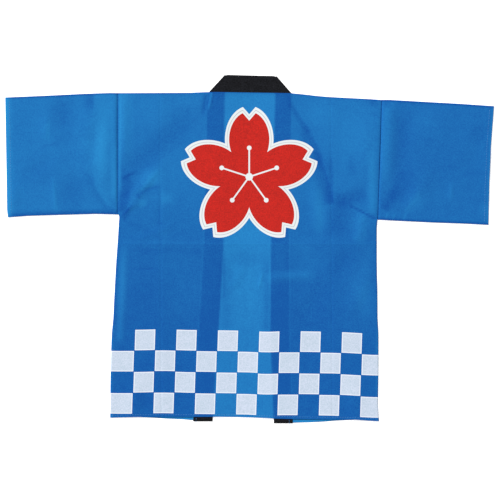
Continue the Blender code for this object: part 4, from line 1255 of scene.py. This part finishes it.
def sleeve_layer(node, step, ends):
    """Points of one flat layer of a sleeve, between its fold lines."""
    edges = outlines[node]
    sides = [edges["left"], edges["right"]]
    along = stretches(sides, (SLEEVE_LENGTH,), LENGTH_STEP, LENGTH_ENDS, ())
    around = stretches(fold_lines(node), (SLEEVE_DEPTH,), step, ends, ())
    return lay_out(sides, fold_lines(node), along, around, edges["middle"])


def round_fold(x, line, outward, tone):
    """Points round a folded edge, from the layer before it to the layer after it."""
    bend = np.radians(outward * np.array(ROUND_TILTS))[:, None]
    y = line(x) + outward * FOLD_RADIUS * np.cos(bend)
    z = FOLD_RADIUS * (1.0 + np.sin(bend))
    return [np.broadcast_to(part, y.shape) for part in (x, y, z, tone)]


def sleeve_shape(node, folds, shades, shade_patches, seed, armhole, cuff):
    """Rings of points round a sleeve, and their tone with painted light and shade. armhole and cuff name
    its two open edges.
    """
    low_line, top_line = fold_lines(node)
    x, y = sleeve_layer(node, UPPER_STEP, UPPER_ENDS)
    to_fold = np.minimum(y - low_line(x), top_line(x) - y)
    to_armhole, to_cuff = [np.abs(x - outlines[node][edge](y)) for edge in (armhole, cuff)]

    flat = 2.0 * FOLD_RADIUS
    swell = heights[node](x, y) - flat + strokes(folds, x, y) + SLEEVE_WOBBLE * wobble(x, y, seed)
    z = flat + np.maximum(swell, -DEEPEST_DENT) * smooth(to_fold / FOLD_CALM)
    z -= CUFF_DROP * (1.0 - rounded(to_cuff, CUFF_RADIUS))
    dip = (1.0 - smooth(to_armhole / SEAM_REACH)) ** 2 * smooth(to_fold / DIP_FADE)
    z -= (z - SLEEVE_SEAM_HEIGHT) * dip

    # Tone with painted light and shade: on the folds, deeper along the edges and seam, lighter at the cuff.
    tone = SLEEVE_TONE[node] + strokes(shades, x, y) + mounds(shade_patches, x, y)
    tone += edge_double_and_shade(top_line(x) - y) + edge_double_and_shade(y - low_line(x), LOW_SHADE[node])
    tone += edge_double_and_shade(to_armhole, SEAM_SHADE)
    tone += CUFF_PAINTED_LIGHT[node] * np.exp(-(to_cuff / CUFF_LIGHT_REACH[node]) ** 2)

    toward_body = 1.0 if armhole == "right" else -1.0
    x = x + toward_body * SLEEVE_UNDER_BACK * (1.0 - np.clip(to_armhole / TUCK_REACH, 0.0, 1.0))
    x_under, y_under = sleeve_layer(node, LOWER_STEP, LOWER_ENDS)
    under = [x_under[::-1], y_under[::-1], np.zeros_like(x_under), np.full_like(x_under, SLEEVE_TONE[node])]
    over_top = round_fold(x[-1], top_line, 1.0, tone[-1])
    past_seam = round_fold(x[0], low_line, -1.0, tone[0])
    return [np.concatenate(parts) for parts in zip([x, y, z, tone], over_top, under, past_seam)]


left_tables = (LEFT_SLEEVE_FOLDS, LEFT_SLEEVE_SHADES, LEFT_SLEEVE_SHADE_PATCHES)
right_tables = (RIGHT_SLEEVE_FOLDS, RIGHT_SLEEVE_SHADES, RIGHT_SLEEVE_SHADE_PATCHES)
shapes = {
    "sleeve_left": sleeve_shape("sleeve_left", *left_tables, seed=11, armhole="right", cuff="left"),
    "sleeve_right": sleeve_shape("sleeve_right", *right_tables, seed=12, armhole="left", cuff="right")}
sleeves = {
    node: make_cloth("happi_" + node, *shape, (blue_spunbond, blue_spunbond), ring=True)
    for node, shape in shapes.items()}

# %% [markdown]
# ## The fronts
# The fronts lie flat under the back, with their printed side on the table. Seen from above, only
# a thin line of each shows below the back's hem, so a coarse grid without folds is enough.
# Their long inner edges run into the collar band, where they are sewn in.

# %% Shape of a front
SEAM_ALLOWANCE = 8.0        # how far the sewn edge runs into the collar band
SEWN_REACH = 4.0
BAND = 1.6                  # thickness of the collar band
RAISED_TO, RAISE_FADE = 1.0, 5.0        # the sewn edge is lifted into the middle of the band
FRONT_WIDTH, FRONT_LENGTH = 190.0, 695.0
FRONT_STEP = 6.0
FRONT_ENDS = (0.0, 1.5, 4.0)
FRONT_TONE = 0.45
FRONT_WOBBLE = 0.1          # in its tone
FRONT_SEED = 21
HEM_LIGHT = 0.5             # painted light along the hem, which takes out the shadow that the back's hem casts there
HEM_REACH = 14.0


def front_shape(node, sewn):
    """Points of a front. sewn names the edge that goes into the collar."""
    edges = outlines[node]
    sides, ends = [edges["left"], edges["right"]], [edges["low"], edges["top"]]
    across = stretches(sides, (FRONT_WIDTH,), FRONT_STEP, FRONT_ENDS, ())
    up = stretches(ends, (FRONT_LENGTH,), FRONT_STEP, FRONT_ENDS, ())
    x, y = lay_out(sides, ends, across, up, edges["middle"])
    to_sewn = np.abs(x - edges[sewn](y))
    raised = (BAND - THICKNESS) / 2.0 * (1.0 - smooth((to_sewn - RAISED_TO) / RAISE_FADE))
    outward = 1.0 if sewn == "right" else -1.0
    x = x + outward * SEAM_ALLOWANCE * (1.0 - smooth(to_sewn / SEWN_REACH))
    tone = FRONT_TONE + FRONT_WOBBLE * wobble(x, y, FRONT_SEED)
    tone += HEM_LIGHT * (1.0 - smooth((y - edges["low"](x)) / HEM_REACH))
    return x, y, THICKNESS + raised, tone


for node, sewn in (("front_left", "right"), ("front_right", "left")):
    shape = front_shape(node, sewn)
    front = make_cloth("happi_" + node, *shape, (blue_spunbond, checked_spunbond))
    mark(front, "row_wave", np.interp(shape[0], *ROW_WAVE))

# %% [markdown]
# ## The collar band
# The collar is one long strip, folded double along its outer edge. It runs up one front, turns
# over at the side of the neck, crosses the back of the neck and comes down the other front. A
# grid of heights can't turn over, so the band is built from sections. Each is a U of cloth, open
# at the sewn edge, and the sections turn over in a half circle at the two corners, which gives
# the slanting folded ends beside the neck.

# %% Sections of the band
LEFT_TURN = {"sewn": (-85.4, 340.2), "free": (-53.3, 374.9)}
RIGHT_TURN = {"sewn": (88.0, 337.5), "free": (57.6, 372.2)}
STRIP_TOP = 320.0
BAND_GAP = 0.35             # between the strip below and the band above it
BAND_STEP = 7.0
TURN_STEPS = 14
NECK_STEPS = 30
NECK_INSET = 3.0            # the neck's sections start this far inside the turns
NECK_BLUR = 5.0
COLLAR_UNDER_BACK = 5.5
TUCK_FADE = 9.0
SEWN_THICKNESS = 1.05       # the band is pressed thinner where it is sewn
PRESSED_TO, PRESS_FADE = 2.0, 8.0
INSIDE = 0.05               # a cut this far inside an end still meets the solid
band_lines = edge_lines("collar")


def strip_sections(sign):
    """Sections of one strip from its lower end up: sewn point, free point, height, tilt, way out."""
    own = band_lines[np.sign(band_lines[:, :, 0].mean(axis=1)) == sign]
    low = own.reshape(-1, 3)[:, 1].min()
    sections = []
    for y in np.linspace(low + INSIDE, STRIP_TOP, round((STRIP_TOP - low) / BAND_STEP)):
        places = sign * cut(own, 1, y)
        sections.append(((sign * places.max(), y), (sign * places.min(), y), BAND / 2.0, -90.0, (0.0, 0.0)))
    return sections


def turn_sections(turn, away):
    """The bend where the band turns over, from the strip below to the neck above."""
    bend = (BAND + BAND_GAP) / 2.0
    run_x, run_y = turn["free"][0] - turn["sewn"][0], turn["free"][1] - turn["sewn"][1]
    length = math.hypot(run_x, run_y)
    out = (away * -run_y / length, away * run_x / length)
    sections = []
    for tilt in np.linspace(-90.0, 90.0, TURN_STEPS):
        reach = bend * (math.cos(math.radians(tilt)) - 1.0) - BAND / 2.0
        height = BAND / 2.0 + bend * (1.0 + math.sin(math.radians(tilt)))
        ends = [(x + out[0] * reach, y + out[1] * reach) for x, y in (turn["sewn"], turn["free"])]
        sections.append((ends[0], ends[1], height, tilt, out))
    return sections


def between(first, last, share):
    """A number that is some share of the way from a first to a last one."""
    return first + (last - first) * share


def neck_sections():
    """Sections across the back of the neck, at the height that the solid has there."""
    sections = []
    for share in np.linspace(0.0, 1.0, NECK_STEPS + 2)[1:-1]:
        sewn_x, free_x = [
            between(LEFT_TURN[edge][0] + NECK_INSET, RIGHT_TURN[edge][0] - NECK_INSET, share)
            for edge in ("sewn", "free")]
        sewn_y = float(outlines["back"]["top"](sewn_x))
        free_y = between(LEFT_TURN["free"][1], RIGHT_TURN["free"][1], share)
        height = float(neck_height(np.array((sewn_x + free_x) / 2.0), np.array((sewn_y + free_y) / 2.0)))
        sections.append(((sewn_x, sewn_y), (free_x, free_y), height - BAND / 2.0, 90.0, (0.0, 0.0)))
    return sections


neck_height = height_of("collar", NECK_BLUR)
print("band is", round(math.dist(LEFT_TURN["sewn"], LEFT_TURN["free"]), 1), "mm wide at its turn")

# %% Shape of the band
FACE_SHARES = (0.0, 0.04, 0.09, 0.15, 0.22, 0.32, 0.43, 0.54, 0.65, 0.76, 0.86, 0.94)
END_PINCHES = ((0, 0.3), (1, 0.08), (-1, 0.3), (-2, 0.08))      # sections at the ends, and shares


def band_ring(sewn, free, height, tilt, out):
    """Points of one U: out along one face, round the folded edge and back along the other."""
    tuck = float(smooth(tilt / 90.0))
    width = math.dist(sewn, free)
    along = ((free[0] - sewn[0]) / width, (free[1] - sewn[1]) / width)
    flat, rise = math.cos(math.radians(tilt)), math.sin(math.radians(tilt))
    thick = BAND / 2.0
    reach = width - thick
    path = [(share * reach, 1.0) for share in FACE_SHARES]
    path += [(reach + thick * math.cos(math.radians(t)), math.sin(math.radians(t))) for t in ROUND_TILTS]
    path += [(share * reach, -1.0) for share in FACE_SHARES[::-1]]
    ring = []
    for run, side in path:
        pressed = 1.0 - smooth((run - PRESSED_TO) / PRESS_FADE)
        half = thick + (SEWN_THICKNESS / 2.0 - thick) * pressed * tuck
        sag = (half - thick) * rise * (1.0 if tilt > 0.0 else 0.0)
        run -= COLLAR_UNDER_BACK * tuck * (1.0 - smooth(run / TUCK_FADE))
        offset = side * half
        ring.append((sewn[0] + along[0] * run + out[0] * flat * offset,
                     sewn[1] + along[1] * run + out[1] * flat * offset,
                     height + rise * offset + sag))
    return ring


def band_points():
    """All sections of the band in order, as a grid of points."""
    left = strip_sections(-1.0) + turn_sections(LEFT_TURN, 1.0)
    right = strip_sections(1.0) + turn_sections(RIGHT_TURN, -1.0)
    return np.array([band_ring(*section) for section in left + neck_sections() + right[::-1]])


def close_ends(points):
    """Pinch the two faces together at the lower ends, where the band is sewn shut."""
    for k, share in END_PINCHES:
        points[k, :, 2] *= 1.0 - share * (points[k, :, 2] > THICKNESS)
    return points


band = close_ends(band_points())[:, ::-1]
band_tone = np.full(band.shape[:2], 0.5)
collar = make_cloth(
    "happi_collar", *band.transpose(2, 0, 1), band_tone, (black_spunbond, black_spunbond))

# %% [markdown]
# ## Stitches
# A stitch line is the same small thread over and over along a path, which is what Geometry Nodes
# do best. The tree takes a path, sets points along it one stitch apart, puts a flattened bead of
# thread on each and turns it along the path. Its sizes are named inputs. The paths are dropped
# onto the finished cloth, so the stitches follow every fold.

# %% Stitch tree
STITCH_INPUTS = {"Pitch": 5.4 * MM, "Stitch length": 4.0 * MM, "Thread width": 0.7 * MM}
STITCH_LIFT = 0.12          # the middle of the thread lies this far above the cloth


def stitch_tree(material):
    """A Geometry Nodes tree that lays stitches along any path."""
    tree = bpy.data.node_groups.new("stitch_line", "GeometryNodeTree")
    face = tree.interface
    face.new_socket("Geometry", in_out="INPUT", socket_type="NodeSocketGeometry")
    face.new_socket("Geometry", in_out="OUTPUT", socket_type="NodeSocketGeometry")
    for name in STITCH_INPUTS:
        face.new_socket(name, in_out="INPUT", socket_type="NodeSocketFloat")
    given = tree.nodes.new("NodeGroupInput").outputs
    line = add(tree, "GeometryNodeMeshToCurve", {"Mesh": given["Geometry"]})
    even = add(tree, "GeometryNodeResampleCurve", {"Curve": line, "Length": given["Pitch"]}, mode="LENGTH")
    bead = add(tree, "GeometryNodeMeshUVSphere", {"Segments": 6, "Rings": 4, "Radius": 0.5}, gives="Mesh")
    size = add(tree, "ShaderNodeCombineXYZ", {
        "X": given["Stitch length"], "Y": given["Thread width"], "Z": given["Thread width"]})
    thread = add(tree, "GeometryNodeTransform", {"Geometry": bead, "Scale": size})
    heading = add(tree, "GeometryNodeInputTangent")
    turn = add(tree, "FunctionNodeAlignRotationToVector", {"Vector": heading}, axis="X")
    placed = add(tree, "GeometryNodeInstanceOnPoints", {
        "Points": even, "Instance": thread, "Rotation": turn})
    real = add(tree, "GeometryNodeRealizeInstances", {"Geometry": placed})
    painted = add(tree, "GeometryNodeSetMaterial", {"Geometry": real, "Material": material})
    add(tree, "NodeGroupOutput", {"Geometry": painted})
    return tree


def on_cloth(piece, route):
    """A route over a piece: its points dropped from above onto the cloth, in metres."""
    surface = BVHTree.FromObject(piece, bpy.context.evaluated_depsgraph_get())
    landed = [drop_ray(surface, x, y)[0] for x, y in route]
    return [(place.x, place.y, place.z + STITCH_LIFT * MM) for place in landed if place is not None]


def sew(name, tree, paths):
    """Stitches along several paths, as one plain mesh."""
    mesh = bpy.data.meshes.new(name)
    points, lines = [], []
    for path in paths:
        first = len(points)
        points += path
        lines += [(k, k + 1) for k in range(first, len(points) - 1)]
    mesh.from_pydata(points, lines, [])
    guide = bpy.data.objects.new(name, mesh)
    bpy.context.scene.collection.objects.link(guide)
    work = guide.modifiers.new("stitches", "NODES")
    work.node_group = tree
    for item in tree.interface.items_tree:
        if item.in_out == "INPUT" and item.name in STITCH_INPUTS:
            work[item.identifier] = STITCH_INPUTS[item.name]
    sewn = bpy.data.meshes.new_from_object(guide.evaluated_get(bpy.context.evaluated_depsgraph_get()))
    guide.modifiers.remove(work)
    guide.data = sewn
    sewn.name = name
    bpy.data.meshes.remove(mesh)
    print(name, "has", len(sewn.polygons), "faces")
    return guide

# %% Stitch lines
ROUTE_STEP = 4.0
HEM_STITCH = 5.0
HEM_END = 280.0
HEM_START = 12.0            # the route starts this far outside the back, to meet its whole hem
HEM_MARGIN = 4.0            # the hem's stitches stop this far from the side seams
STITCHED_SECTIONS = 30      # how many of the collar's sections are stitched, from its lower end up
STRIP_STITCHES = ((-1.0, 6.0), (1.0, -7.7))         # side of the body, and place from the sewn edge
CUFF_STITCHES = (                                   # sleeve, its cuff, two heights, place from it
    ("sleeve_left", "left", 80.0, 320.0, 9.0),
    ("sleeve_right", "right", 62.0, 300.0, -9.0))


def hem_route(edges):
    """Places along a panel's hem, between its side seams."""
    start = float(edges["left"](edges["middle"][1])) - HEM_START
    route = []
    for x in np.arange(start, HEM_END, ROUTE_STEP):
        y = float(edges["low"](x))
        if edges["left"](y) + HEM_MARGIN < x < edges["right"](y) - HEM_MARGIN:
            route.append((x, y + HEM_STITCH))
    return route


paths = [on_cloth(back, hem_route(outlines["back"]))]
for side, inset in STRIP_STITCHES:
    sections = strip_sections(side)[:STITCHED_SECTIONS]
    paths.append(on_cloth(collar, [(sewn_x + inset, y) for (sewn_x, y), *_ in sections]))
for node, edge, low, high, inset in CUFF_STITCHES:
    ys = np.arange(low, high, ROUTE_STEP)
    paths.append(on_cloth(sleeves[node], [(float(outlines[node][edge](y)) + inset, y) for y in ys]))
stitches = sew("happi_stitches", stitch_tree(blue_thread), paths)

# %% [markdown]
# ## Handing the pieces to the frame
# Every piece moves with the coat's one body. Each panel and the collar stand for their solids,
# which are hidden. The table lists each as a sheet of cloth with the size it was cut to before
# sewing, seam allowances included, though nothing below reads those sizes. The stitches stand for no solid.

# %% Pieces on the coat's body
# Each row holds the solid, the flat size in metres, the area where the cut isn't a rectangle, how
# the sheet is held, and what it rests on.
CUTS = {
    "happi_back": (
        "back", (0.60, 0.73), None, "laid", ["happi_front_left", "happi_front_right", "happi_collar"]),
    "happi_front_left": ("front_left", (0.22, 0.73), 0.148, "laid", ["floor"]),
    "happi_front_right": ("front_right", (0.21, 0.73), 0.145, "laid", ["floor"]),
    "happi_sleeve_left": ("sleeve_left", (0.53, 0.26), None, "laid", ["floor"]),
    "happi_sleeve_right": ("sleeve_right", (0.53, 0.26), None, "laid", ["floor"]),
    "happi_collar": ("collar", (0.104, 1.61), None, "folded", ["floor"]),
}
for name, (node, flat, area, held, rests_on) in CUTS.items():
    piece = bpy.data.objects[name]
    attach(piece, "root")
    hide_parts(node)
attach(stitches, "root")
print(len(CUTS), "sheets declared")

# %% Sizes and the end
sizes = {"cad": CAD_BOX, "visual": [list(corner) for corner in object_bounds()]}
for name, box in sizes.items():
    print(name, "box, mm:", [[round(place / MM, 1) for place in corner] for corner in box])
